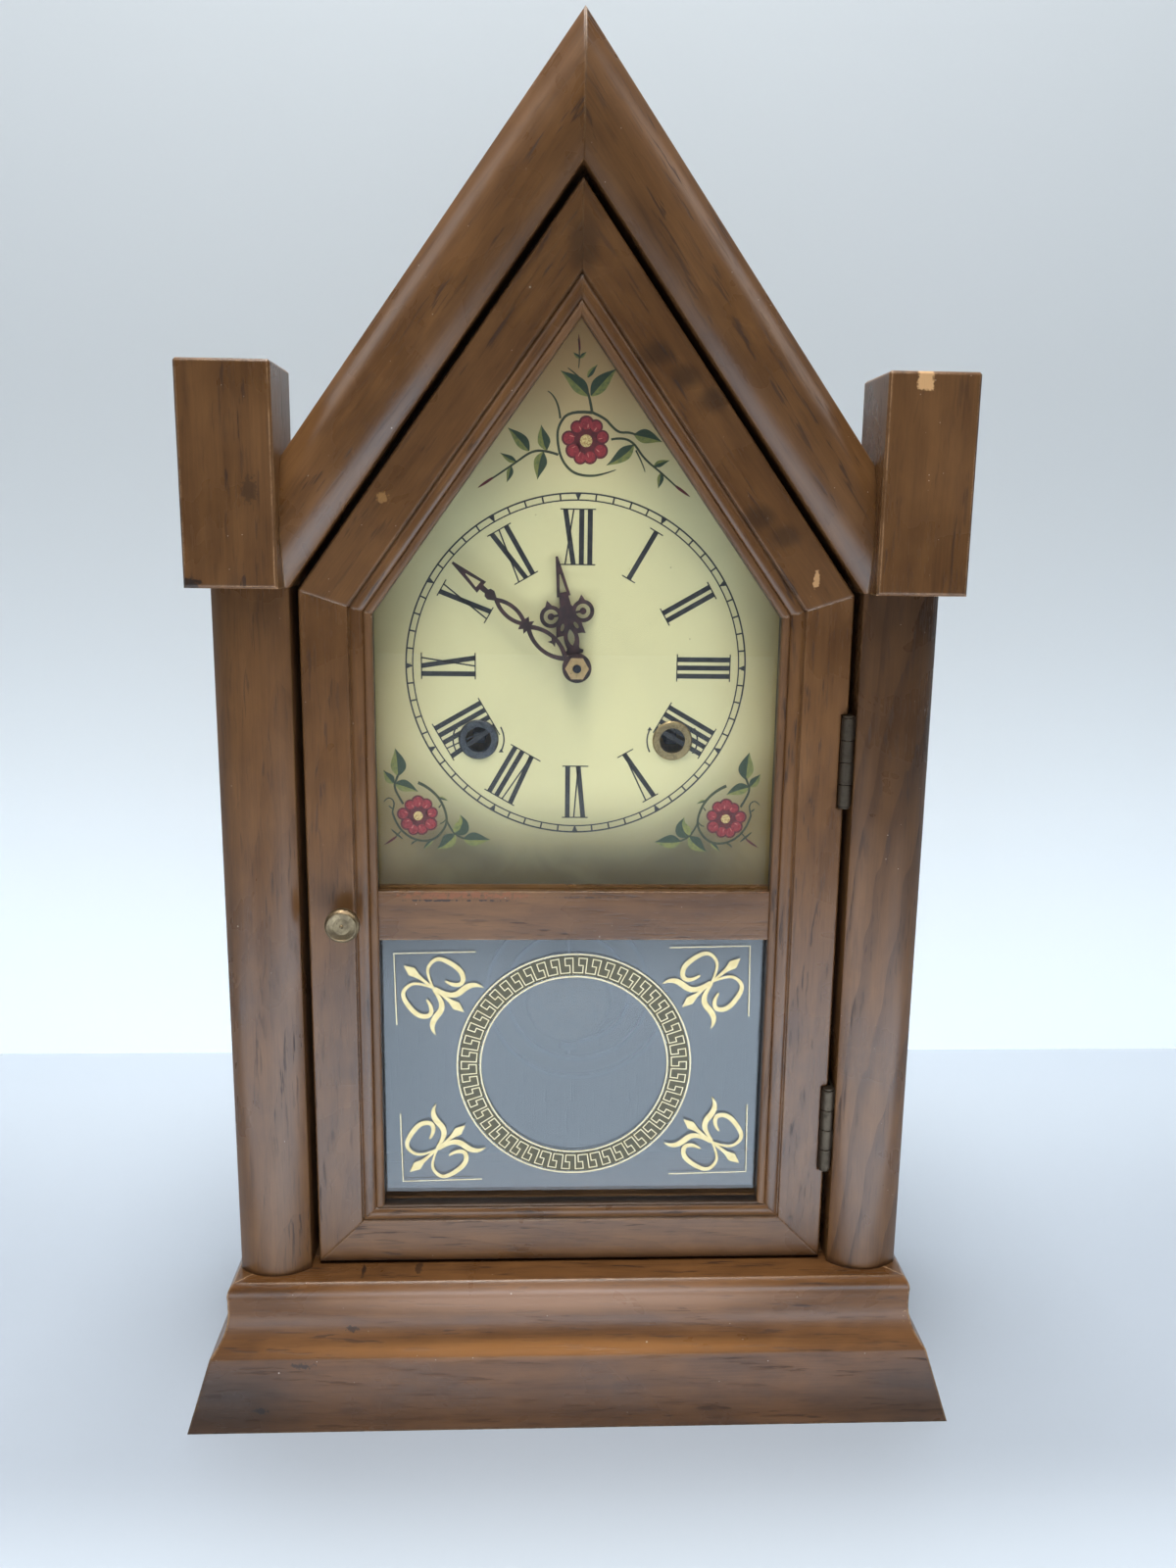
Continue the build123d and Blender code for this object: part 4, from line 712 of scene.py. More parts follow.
@dataclass
class CaseWork:
    """Wooden case: base, boards, columns, shoulder blocks and roof mouldings."""

    block_wear: float = 1.5
    base_wear: float = 1.5

    def base_marks(self) -> tuple[Mark, ...]:
        """Marks on the base's front.

        Returns:
            A band of painted light on the cove, a painted highlight on the upper round, dark ends, a chip and
            smudges.
        """
        ends = (Mark((end, -58, 10), 70, 24, (0.02, 0.012, 0.008), share, soft=True, deep=12.0)
                for end, share in ((-146, 0.66), (146, 0.5)))
        return (
            # Painted light: a warm orange band where the cove faces up towards the light.
            Mark((-6, -52.5, 28.5), 135, 6, (0.34, 0.15, 0.045), 0.62, soft=True),
            # Painted highlight: a pale sheen band along the upper round of the moulding.
            Mark((-6, -46.5, 46), 125, 8.5, (0.34, 0.205, 0.135), 0.75, soft=True, deep=5.5),
            *ends,
            Mark((131, -52, 39), 2.6, 4.5),
            Mark((-103, -57, 23.6), 5.5, 1.3, SMUDGE, 0.7),
            Mark((-118.8, -61, 7.6), 3.2, 1.8, SMUDGE, 0.8),
            Mark((-84.9, -50, 34.9), 2.6, 1.2, SMUDGE, 0.7),
            Mark((-81.4, -38, 52.6), 1.0, 1.5, SMUDGE, 0.8),
            Mark((-60, -36, 53), 1.6, 1.0, SMUDGE, 0.6),
        )

    def dress(self) -> None:
        """Give every wooden node of the case its grain and wear."""
        across, up = Grain.ACROSS, Grain.UPRIGHT
        dress_wood({
            # Painted light: the front moulding's wood is paler and warmer than the side mouldings', for its
            # lit top and cove.
            "base_front_moulding": WoodFinish(
                "base_front_wood", across, 1.3, wear=self.base_wear, figure=0.15, pale=(0.185, 0.082, 0.027),
                marks=self.base_marks()),
            "base_side_mouldings": WoodFinish(
                "base_side_wood", Grain.DEEP, 2.1, wear=self.base_wear, figure=0.2),
            "base_back_rail": WoodFinish("back_rail_wood", across, 9.4, wear=0.1, coat=0.0, roughness=0.6),
            "floor_board": WoodFinish("floor_wood", across, 8.8, wear=0.0, coat=0.0, roughness=0.65),
            "side_boards": WoodFinish("side_wood", up, 4.6, wear=0.3),
            "roof_board_left": WoodFinish("roof_board_left_wood", Grain.RAKE_LEFT, 5.2, wear=0.3),
            "roof_board_right": WoodFinish("roof_board_right_wood", Grain.RAKE_RIGHT, 6.1, wear=0.3),
            "front_board": WoodFinish("front_board_wood", up, 7.7, wear=0.0, coat=0.0, roughness=0.6,
                                      dark=(0.03, 0.014, 0.008), pale=(0.085, 0.042, 0.02)),
            "column_left": WoodFinish("column_left_wood", up, 0.4, wear=0.25, figure=0.3),
            "column_right": WoodFinish(
                "column_right_wood", up, 3.3, wear=0.25, figure=0.95,
                # Painted shade: the right column is darker high up, as the light falls from the left.
                marks=(Mark((124, -45, 300), 60, 150, SHADE_AND_STAIN, 0.5, soft=True, deep=30.0),)),
            "shoulder_block_left": WoodFinish(
                "block_left_wood", up, 1.9, wear=self.block_wear, figure=0.1,
                marks=(Mark((-111.5, -48, 350), 2.6, 4.5, SMUDGE, 0.45),
                       Mark((-133.4, -48, 318.6), 4.5, 2.2, SMUDGE, 0.85))),
            "shoulder_block_right": WoodFinish(
                "block_right_wood", up, 2.9, wear=self.block_wear, figure=0.1, specks=1.5,
                marks=(Mark((115.6, -48, 389.2), 2.8, 3.4, square=True),)),
            # Painted light: the left roof moulding's wood is paler than the right one's, as the light falls
            # from the left.
            "roof_moulding_left": WoodFinish("roof_left_wood", Grain.RAKE_LEFT, 6.6, wear=0.5, figure=0.25,
                                             pale=(0.19, 0.09, 0.031)),
            "roof_moulding_right": WoodFinish("roof_right_wood", Grain.RAKE_RIGHT, 7.1, wear=0.5, figure=0.3),
            "back_panel": WoodFinish(
                "back_panel_wood", up, 11.0, wear=0.25, coat=0.0, roughness=0.62, figure=0.8, specks=0.2,
                dark=(0.11, 0.058, 0.03), pale=(0.3, 0.18, 0.095),
                # Painted shade: the panel's inner face, inside the closed case, is nearly black.
                marks=(Mark((0, 56, 250), EVERYWHERE, EVERYWHERE, (0.012, 0.009, 0.007), 0.93, soft=True),)),
        })


@dataclass
class Door:
    """Wooden frame of the door, with its marks in millimetres, and the small forms of its knob."""

    rim_inset: float = 1.0 * MM
    rim_half: float = 0.42 * MM
    dish: float = 0.6 * MM
    point_half: float = 0.75 * MM
    ridges: int = 52
    ridge: Triple = (0.3 * MM, 2.4 * MM, 0.36 * MM)
    ridge_depth: float = 2.5 * MM
    face: float = -33
    smudges: tuple[Point, ...] = ((26, 398), (36, 390.5), (46, 383), (64, 343.5), (73, 337))

    def dress(self) -> None:
        """Give the door's wooden nodes their finishes."""
        across, up, y = Grain.ACROSS, Grain.UPRIGHT, self.face
        smudges = (Mark((x, y, z), 8, 6, SHADE_AND_STAIN, 0.6, soft=True) for x, z in self.smudges)
        dress_wood({
            "door_stile_left": WoodFinish("stile_left_wood", up, 0.9, wear=0.16, figure=0.3),
            "door_stile_right": WoodFinish("stile_right_wood", up, 1.6, wear=0.16, figure=0.35),
            "door_rake_left": WoodFinish(
                "rake_left_wood", Grain.RAKE_LEFT, 2.4, wear=0.16, figure=0.2,
                marks=(Mark((-68.6, y, 348.4), 2.4, 1.9, (0.36, 0.2, 0.07), 0.45),
                       Mark((-1, y, 433), 6, 14, SHADE_AND_STAIN, 0.55, soft=True))),
            "door_rake_right": WoodFinish(
                "rake_right_wood", Grain.RAKE_RIGHT, 3.8, wear=0.16, figure=0.2,
                marks=(Mark((85.1, y, 322), 1.1, 3.4, strength=0.7),
                       Mark((1.5, y, 433), 6, 14, SHADE_AND_STAIN, 0.55, soft=True), *smudges)),
            "door_bottom_rail": WoodFinish("bottom_rail_wood", across, 4.2, wear=0.16, figure=0.4),
            "door_mid_rail": WoodFinish(
                "mid_rail_wood", across, 5.7, wear=0.5, figure=0.35, specks=0.8,
                marks=(Mark((-42, y, 203.6), 34, 2.0, (0.17, 0.058, 0.02), 0.85),
                       Mark((-46, y, 201.4), 27, 0.5, SMUDGE, 0.9),
                       Mark((4, y, 202.6), 24, 0.4, SMUDGE, 0.7))),
            "glazing_strips": WoodFinish("glazing_wood", up, 6.3, wear=0.1, coat=0.0, roughness=0.6),
        })

    def knob_details(self, brass: Material) -> None:
        """Add the knob's rolled rim, its knurled edge and the point in its middle.

        Args:
            brass: Aged brass of the knob.
        """
        low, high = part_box("door_knob")
        middle = Vector(((low[0] + high[0]) / 2, low[1], (low[2] + high[2]) / 2))
        radius = (high[0] - low[0]) / 2

        def rim(work: Work) -> None:
            """Spin a small round bead about the knob's axis and set a low dome in its middle.

            Args:
                work: Mesh that takes them.
            """
            at = Matrix.Translation(middle + Vector((radius - self.rim_inset, self.rim_half * 0.7, 0)))
            made = bmesh.ops.create_circle(work, segments=8, radius=self.rim_half, matrix=at)["verts"]
            bmesh.ops.spin(work, geom=made + edges_at(made), cent=middle, axis=(0, 1, 0), angle=2 * math.pi,
                           steps=56, use_merge=True)
            dome = Matrix.Translation(middle + Vector((0, self.dish, 0)))
            bmesh.ops.create_uvsphere(work, u_segments=14, v_segments=8, radius=self.point_half, matrix=dome)

        def knurl(work: Work) -> None:
            """Set short ridges round the knob's edge.

            Args:
                work: Mesh that takes them.
            """
            for number in range(self.ridges):
                made = block(work, self.ridge)
                bmesh.ops.translate(work, verts=made, vec=(radius, self.ridge_depth, 0))
                carry(work, made, 2 * math.pi * number / self.ridges, middle)

        piece("knob_rim", shaped(rim), brass, "door", True)
        piece("knob_knurl", shaped(knurl), brass, "door")


@dataclass
class SightBead:
    """Small mitred bead that edges the door's opening, in front of the glass."""

    outset: float = 22.45 * MM
    inset: float = 25.6 * MM
    foot_inset: float = 23.3 * MM
    crest: float = 0.95 * MM
    shoulder: float = 2.15 * MM
    glass_gap: float = 0.05 * MM
    rounds: int = 8
    shade_reach: float = 4.8
    foot_shade_reach: float = 9.0

    def outline(self, inset: float, foot: float) -> list[Point]:
        """The door's five corners, moved inwards.

        Args:
            inset: How far the stiles' and the rakes' edges move.
            foot: How far the bottom edge moves.

        Returns:
            Lower left, shoulder left, apex, shoulder right and lower right corner.
        """
        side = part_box("door_stile_right")[1][0] - inset
        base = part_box("door_bottom_rail")[0][2] + foot
        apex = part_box("door_rake_right")[1][2] - inset / math.cos(RAKE)
        shoulder = apex - side * math.tan(RAKE)
        return [(-side, base), (-side, shoulder), (0.0, apex), (side, shoulder), (side, base)]

    def build(self) -> None:
        """Run the bead along the two stiles, the two rakes and the bottom rail."""
        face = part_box("door_stile_right")[0][1]
        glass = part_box("lower_glass")[0][1] - self.glass_gap
        section = [(0.0, glass)]
        for step in range(self.rounds + 1):
            turn = math.pi * step / self.rounds
            depth = self.shoulder - (self.shoulder - self.crest) * math.sin(turn)
            section.append((0.5 - 0.5 * math.cos(turn), face + depth))
        section.append((1.0, glass))
        outer, inner = self.outline(self.outset, self.outset), self.outline(self.inset, self.foot_inset)

        def end(work: Work, corner: int) -> bmesh.types.BMFace:
            """Add the mitred face at one corner.

            Args:
                work: Mesh that takes the face.
                corner: Number of the corner, from the lower left one.

            Returns:
                The face.
            """
            (ox, oz), (ix, iz) = outer[corner], inner[corner]
            spots = [(ox + (ix - ox) * share, y, oz + (iz - oz) * share) for share, y in section]
            return work.faces.new([work.verts.new(spot) for spot in spots])

        lengths = (("left", Grain.UPRIGHT), ("rake_left", Grain.RAKE_LEFT), ("rake_right", Grain.RAKE_RIGHT),
                   ("right", Grain.UPRIGHT), ("bottom", Grain.ACROSS))
        for number, (name, grain) in enumerate(lengths):
            def run(work: Work) -> None:
                """Join the two mitred ends of this length."""
                ends = [end(work, number), end(work, (number + 1) % len(lengths))]
                bmesh.ops.bridge_loops(work, edges=[edge for mitre in ends for edge in mitre.edges])

            shade = Mark((0, glass / MM, 250), EVERYWHERE, EVERYWHERE, (0.004, 0.003, 0.003), 0.97, soft=True,
                         deep=self.foot_shade_reach if name == "bottom" else self.shade_reach)
            finish = WoodFinish(f"sight_bead_{name}_wood", grain, 12.0 + number, wear=0.2, roughness=0.42,
                                coat=0.0, marks=(shade,))
            piece(f"sight_bead_{name}", shaped(run), finish.material(), "door")


@dataclass
class Dial:
    """Printing on the dial: minute track, numerals and winding arrows."""

    centre: Point = (0.0, 287.997 * MM)
    ring: float = 63.6 * MM
    ring_width: float = 2.5 * MM
    ring_line: float = 0.6 * MM
    numeral_outer: float = 57.6 * MM
    numeral_inner: float = 37.7 * MM
    thick: float = 1.85 * MM
    thin: float = 0.55 * MM
    pitch: float = 3.1 * MM
    cross: float = 4.9 * MM
    letter_gap: float = 0.9 * MM
    lean: float = 0.3
    serif: float = 0.5 * MM
    serif_half: float = 0.4
    film: float = 0.05 * MM
    # Half widths of an hour wedge at its foot and its head.
    wedge: Point = (0.1 * MM, 1.15 * MM)
    wedge_drop: float = 0.35 * MM
    # Place of a winding hole from the dial's centre, and the arrows about it.
    hole: Point = (36.6 * MM, -27.6 * MM)
    arrow_reach: float = 9.6 * MM
    arrow_half: float = 0.34 * MM
    arrow_arcs: tuple[Point, ...] = ((60, 118), (242, 296))
    # Rise and half width of an arrow's head at its two ends.
    arrow_head: tuple[Point, ...] = ((0.9 * MM, 0.1 * MM), (-0.4 * MM, 0.95 * MM))
    numerals: tuple[str, ...] = ("XII", "I", "II", "III", "IIII", "V", "VI", "VII", "VIII", "IX", "X", "XI")
    front: float = field(init=False)

    def __post_init__(self) -> None:
        """Find the dial's face."""
        self.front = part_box("dial_plate")[0][1]

    def bar(self, work: Work, foot: Point, head: Point, width: float) -> None:
        """Add one straight stroke of ink.

        Args:
            work: Mesh that takes the stroke.
            foot: Middle of its lower end.
            head: Middle of its upper end.
            width: Its width across the dial.
        """
        for corner in block(work, (width, self.film, head[1] - foot[1])):
            share = 0.5 + corner.co.z / (head[1] - foot[1])
            corner.co.x += foot[0] + (head[0] - foot[0]) * share
            corner.co.z += (foot[1] + head[1]) / 2
            corner.co.y += self.front - self.film / 2

    def numeral(self, work: Work, letters: str, clock: float) -> None:
        """Add one Roman numeral, its head outwards.

        Args:
            work: Mesh that takes the strokes.
            letters: The numeral.
            clock: Its clockwise angle in degrees.
        """
        before = set(work.verts)
        low, high = self.numeral_inner, self.numeral_outer
        wide = self.cross + self.letter_gap
        widths = {"I": self.pitch, "V": wide, "X": wide}
        at = -sum(widths[letter] for letter in letters) / 2
        left = at
        for letter in letters:
            middle = at + widths[letter] / 2
            half = self.cross / 2 - self.thick / 2
            if letter == "I":
                self.bar(work, (middle, low), (middle, high), self.thick)
            elif letter == "X":
                self.bar(work, (middle + half, low), (middle - half, high), self.thick)
                self.bar(work, (middle - half, low), (middle + half, high), self.thin)
            else:
                foot = middle + half * self.lean
                self.bar(work, (foot, low), (middle - half, high), self.thick)
                self.bar(work, (foot, low), (foot + half, high), self.thin)
            at += widths[letter]
        reach = max((at - left) / 2 + self.serif, 1.5 * self.thick)
        rise = self.thin * self.serif_half
        for height in (low, high):
            self.bar(work, (0, height - rise), (0, height + rise), 2 * reach)
        made = [corner for corner in work.verts if corner not in before]
        carry(work, made, math.radians(clock), (self.centre[0], 0, self.centre[1]))

    def annulus(self, work: Work, outer: float, width: float) -> None:
        """Add a thin ring of ink about the dial's centre.

        Args:
            work: Mesh that takes the ring.
            outer: Its outer radius.
            width: The width of its line.
        """
        made = bmesh.ops.create_circle(work, segments=160, radius=outer)["verts"]
        inner = corners_in(bmesh.ops.extrude_edge_only(work, edges=edges_at(made))["geom"])
        bmesh.ops.scale(work, verts=inner, vec=(1 - width / outer, 1 - width / outer, 1))
        ring = made + inner
        bmesh.ops.rotate(work, verts=ring, cent=(0, 0, 0), matrix=Matrix.Rotation(math.pi / 2, 3, "X"))
        lifted = corners_in(bmesh.ops.extrude_face_region(work, geom=faces_at(ring))["geom"])
        bmesh.ops.translate(work, verts=lifted, vec=(0, -self.film, 0))
        bmesh.ops.translate(work, verts=ring + lifted, vec=(self.centre[0], self.front, self.centre[1]))

    def track(self, work: Work) -> None:
        """Add the minute track: sixty bars, with a solid wedge at every fifth.

        Args:
            work: Mesh that takes the bars.
        """
        outer, inner = self.ring - self.ring_line / 2, self.ring - self.ring_width
        narrow, wide = self.wedge
        for minute in range(60):
            before = set(work.verts)
            self.bar(work, (0, inner), (0, outer), self.ring_line)
            made = [corner for corner in work.verts if corner not in before]
            for corner in made if minute % 5 == 0 else ():
                high = corner.co.z > (inner + outer) / 2
                corner.co.x = math.copysign(wide if high else narrow, corner.co.x)
                corner.co.z -= 0.0 if high else self.wedge_drop
            carry(work, made, math.radians(6 * minute), (self.centre[0], 0, self.centre[1]))

    def build(self, ink: Material) -> None:
        """Print the ring, the track, the numerals and the winding arrows.

        Args:
            ink: Black printing ink.
        """
        def numerals(work: Work) -> None:
            """Add all twelve numerals."""
            for hour, letters in enumerate(self.numerals):
                self.numeral(work, letters, 30.0 * hour)

        def rings(work: Work) -> None:
            """Add the track's two circles and its bars.

            Args:
                work: Mesh that takes them.
            """
            self.annulus(work, self.ring, self.ring_line)
            self.annulus(work, self.ring - self.ring_width, self.ring_line * 0.8)
            self.track(work)

        piece("dial_numerals", shaped(numerals), ink, "case")
        piece("dial_minute_track", shaped(rings), ink, "case")
        arrows = Stroke("dial_winding_arrows", self.front)
        for side in (-1, 1):
            hole = (self.hole[0] * side, self.centre[1] + self.hole[1])
            for start, end in self.arrow_arcs:
                path = [polar(hole, self.arrow_reach, start + (end - start) * step / 5) for step in range(6)]
                arrows.smooth([(x, z, self.arrow_half) for x, z in path])
                x, z = path[-1]
                arrows.straight([(x, z + rise, half) for rise, half in self.arrow_head])
        piece("dial_winding_arrows", arrows.mesh(), ink, "case")


LEAF_SWELL: tuple[Point, ...] = (
    (0.0, 0.12), (0.14, 0.72), (0.36, 1.12), (0.64, 0.74), (0.86, 0.24), (1.0, 0.03))


@dataclass(frozen=True)
class Leaf:
    """One two-tone leaf, in millimetres from its flower's middle."""

    base: Point
    tip: Point
    half: float
    bend: float = 0.0
    pale_side: int = 1

    def points(self, share: float, side: float) -> list[Triple]:
        """Points of x, z and half width along the leaf.

        Args:
            share: Share of the leaf's width that the stroke covers.
            side: How far the stroke lies off the midrib, as a share of the leaf's half width.

        Returns:
            The points from the base to the tip.
        """
        along = Vector(self.tip) - Vector(self.base)
        off = Vector((-along.y, along.x)).normalized()
        made = []
        for step, swell in LEAF_SWELL:
            half = self.half * swell
            curve = self.bend * 4 * step * (1 - step)
            spot = Vector(self.base) + along * step + off * (curve + side * half)
            made.append((spot.x, spot.y, half * share))
        return made


@dataclass(frozen=True)
class FlowerSpray:
    """One painted flower with its stems, leaves and buds, drawn in millimetres from its middle."""

    name: str
    centre: Point
    stems: tuple[tuple[Triple, ...], ...]
    leaves: tuple[Leaf, ...]
    buds: tuple[tuple[Triple, ...], ...]
    mirrored: bool = False
    petals: int = 9
    petal: float = 2.45
    petal_ring: float = 5.4
    heart: float = 1.75
    stem_swell: float = 1.75
    leaf_share: float = 1.22
    light_share: float = 0.58
    light_side: float = 0.54
    core_share: float = 0.8
    petal_share: float = 0.74
    # Turn, start, end and half width of each light stroke on a petal, the middle two as shares of its reach.
    petal_lights: tuple[tuple[float, float, float, float], ...] = (
        (-0.12, 0.62, 1.1, 0.7), (0.17, 0.72, 1.18, 0.532))

    def spot(self, x: float, z: float) -> Point:
        """A point of the pattern at its place on the dial."""
        side = -1 if self.mirrored else 1
        return (self.centre[0] + side * x * MM, self.centre[1] + z * MM)

    def stroke(self, onto: Stroke, points: Iterable[Triple]) -> None:
        """Draw one smooth stroke of the pattern."""
        onto.smooth([(*self.spot(x, z), half * MM) for x, z, half in points])

    def discs(self, places: Iterable[Triple], y: float, film: float) -> Mesh:
        """Thin round dabs of paint.

        Args:
            places: X, z and radius of each dab.
            y: Depth of the dial's face.
            film: Thickness of the paint.

        Returns:
            The dabs as one mesh.
        """
        def build(work: Work) -> None:
            """Add one flat disc for each dab.

            Args:
                work: Mesh that takes the discs.
            """
            for x, z, radius in places:
                across, up = self.spot(x, z)
                at = Matrix.Translation((across, y - film / 2, up)) @ Matrix.Rotation(math.pi / 2, 4, "X")
                bmesh.ops.create_cone(work, cap_ends=True, segments=24, radius1=radius * MM,
                                      radius2=radius * MM, depth=film, matrix=at)

        return shaped(build)

    def petal_places(self) -> list[Triple]:
        """Set out the petals, slightly uneven as painted by hand.

        Returns:
            X, z and radius of each petal.
        """
        made = []
        for number in range(self.petals):
            clock = 360.0 * number / self.petals + 6 * math.sin(5.0 * number)
            x, z = polar((0.0, 0.0), self.petal_ring + 0.35 * math.sin(3.0 * number), clock)
            made.append((x, z, self.petal + 0.2 * math.cos(2.0 * number)))
        return made

    def build(self, y: float, looks: dict[str, Material]) -> None:
        """Paint the spray in layers, the upper ones thicker so that they show.

        Args:
            y: Depth of the dial's face.
            looks: The materials by name.
        """
        films = {"stems": 0.04, "leaves": 0.05, "leaf_lights": 0.08, "buds": 0.07, "petal_lights": 0.13}
        stems, leaves, lights, buds, shine = (
            Stroke(f"{self.name}_{layer}", y, film * MM) for layer, film in films.items())
        for line in self.stems:
            self.stroke(stems, [(x, z, half * self.stem_swell) for x, z, half in line])
        for leaf in self.leaves:
            self.stroke(leaves, leaf.points(self.leaf_share, 0.0))
            self.stroke(lights, leaf.points(self.light_share, self.light_side * leaf.pale_side))
        for line in self.buds:
            self.stroke(buds, line)
        places = self.petal_places()
        for number, (x, z, _) in enumerate(places):
            for turn, start, end, half in self.petal_lights:
                turn += 0.05 * math.sin(7.0 * number)
                dx, dz = x * math.cos(turn) - z * math.sin(turn), x * math.sin(turn) + z * math.cos(turn)
                along = ((start, 0.1), ((start + end) / 2, half), (end, 0.16))
                self.stroke(shine, [(dx * share, dz * share, wide) for share, wide in along])
        edges = [*places, (0, 0, self.petal_ring * self.core_share)]
        petals = [(x, z, radius * self.petal_share) for x, z, radius in places]
        for layer, mesh, paint in (
            ("stems", stems.mesh(), "stem"),
            ("leaves", leaves.mesh(), "leaf"),
            ("leaf_lights", lights.mesh(), "leaf_light"),
            ("buds", buds.mesh(), "petal_edge"),
            ("petal_edges", self.discs(edges, y, 0.07 * MM), "petal_edge"),
            ("petals", self.discs(petals, y, 0.1 * MM), "petal"),
            ("petal_lights", shine.mesh(), "petal_light"),
            ("heart", self.discs([(0, 0, self.heart)], y, 0.15 * MM), "heart"),
        ):
            piece(f"{self.name}_{layer}", mesh, looks[f"{paint}_paint"], "case")


def lower_spray(name: str, centre: Point, mirrored: bool) -> FlowerSpray:
    """The spray in a lower corner of the dial, drawn for the left one.

    Args:
        name: Its name.
        centre: The flower's middle.
        mirrored: Whether it is turned over for the right corner.

    Returns:
        The spray.
    """
    ring = ((0.1, 12.9, 0.4), (3.0, 11.7, 0.36), (7.9, 7.4, 0.32), (10.6, 1.5, 0.3), (10.9, -3.6, 0.28),
            (6.9, -8.9, 0.3), (1.6, -10.2, 0.3), (-4.1, -8.2, 0.28), (-8.5, -3.2, 0.28), (-9.8, 1.4, 0.24))
    tendril = ((-9.8, 1.4, 0.22), (-8.8, 4.4, 0.2), (-9.6, 6.5, 0.16), (-11.6, 7.2, 0.14), (-12.9, 5.4, 0.1))
    sprig = ((10.9, -2.2, 0.24), (12.4, -5.4, 0.24), (14.8, -7.9, 0.24), (17.4, -8.9, 0.26))
    upper = ((-5.6, 4.6, 0.3), (-8.2, 9.0, 0.28), (-8.9, 12.0, 0.28), (-8.0, 14.2, 0.28), (-7.2, 16.2, 0.28))
    twigs = (
        ((8.7, 4.4, 0.12), (7.8, 3.2, 0.2)),
        ((10.4, -1.4, 0.16), (9.6, -2.8, 0.16), (8.2, -3.0, 0.16)),
        ((-11.1, 3.9, 0.1), (-10.2, 3.0, 0.26), (-9.2, 2.6, 0.1)),
        ((-10.3, -5.3, 0.1), (-8.0, -7.4, 0.42), (-6.0, -9.1, 0.1)),
        ((-6.6, -5.9, 0.16), (-8.4, -8.0, 0.2)),
        ((-2.8, -11.3, 0.1), (-2.0, -9.9, 0.36), (-0.6, -9.8, 0.1)),
    )
    leaves = (
        Leaf((-7.2, 15.6), (-8.3, 25.9), 2.7, -0.5, 1),
        Leaf((-8.6, 12.5), (0.0, 9.4), 2.1, 0.5, -1),
        Leaf((-8.9, 12.6), (-12.8, 17.6), 1.6, 0.2, 1),
        Leaf((13.6, -6.8), (15.9, 0.4), 2.7, -2.2, 1),
        Leaf((17.2, -9.0), (27.2, -9.3), 2.5, 0.0, -1),
        Leaf((13.8, -7.0), (6.9, -13.0), 2.5, 0.6, 1),
        Leaf((7.8, 7.3), (11.4, 5.8), 0.55, 0.2, 1),
        Leaf((5.4, -9.6), (1.8, -13.2), 0.8, -0.2, 1),
    )
    buds = (((-8.4, -8.1, 0.35), (-10.2, -9.7, 0.75), (-13.0, -11.3, 0.1)),)
    return FlowerSpray(name, centre, (ring, tendril, sprig, upper, *twigs), leaves, buds, mirrored)


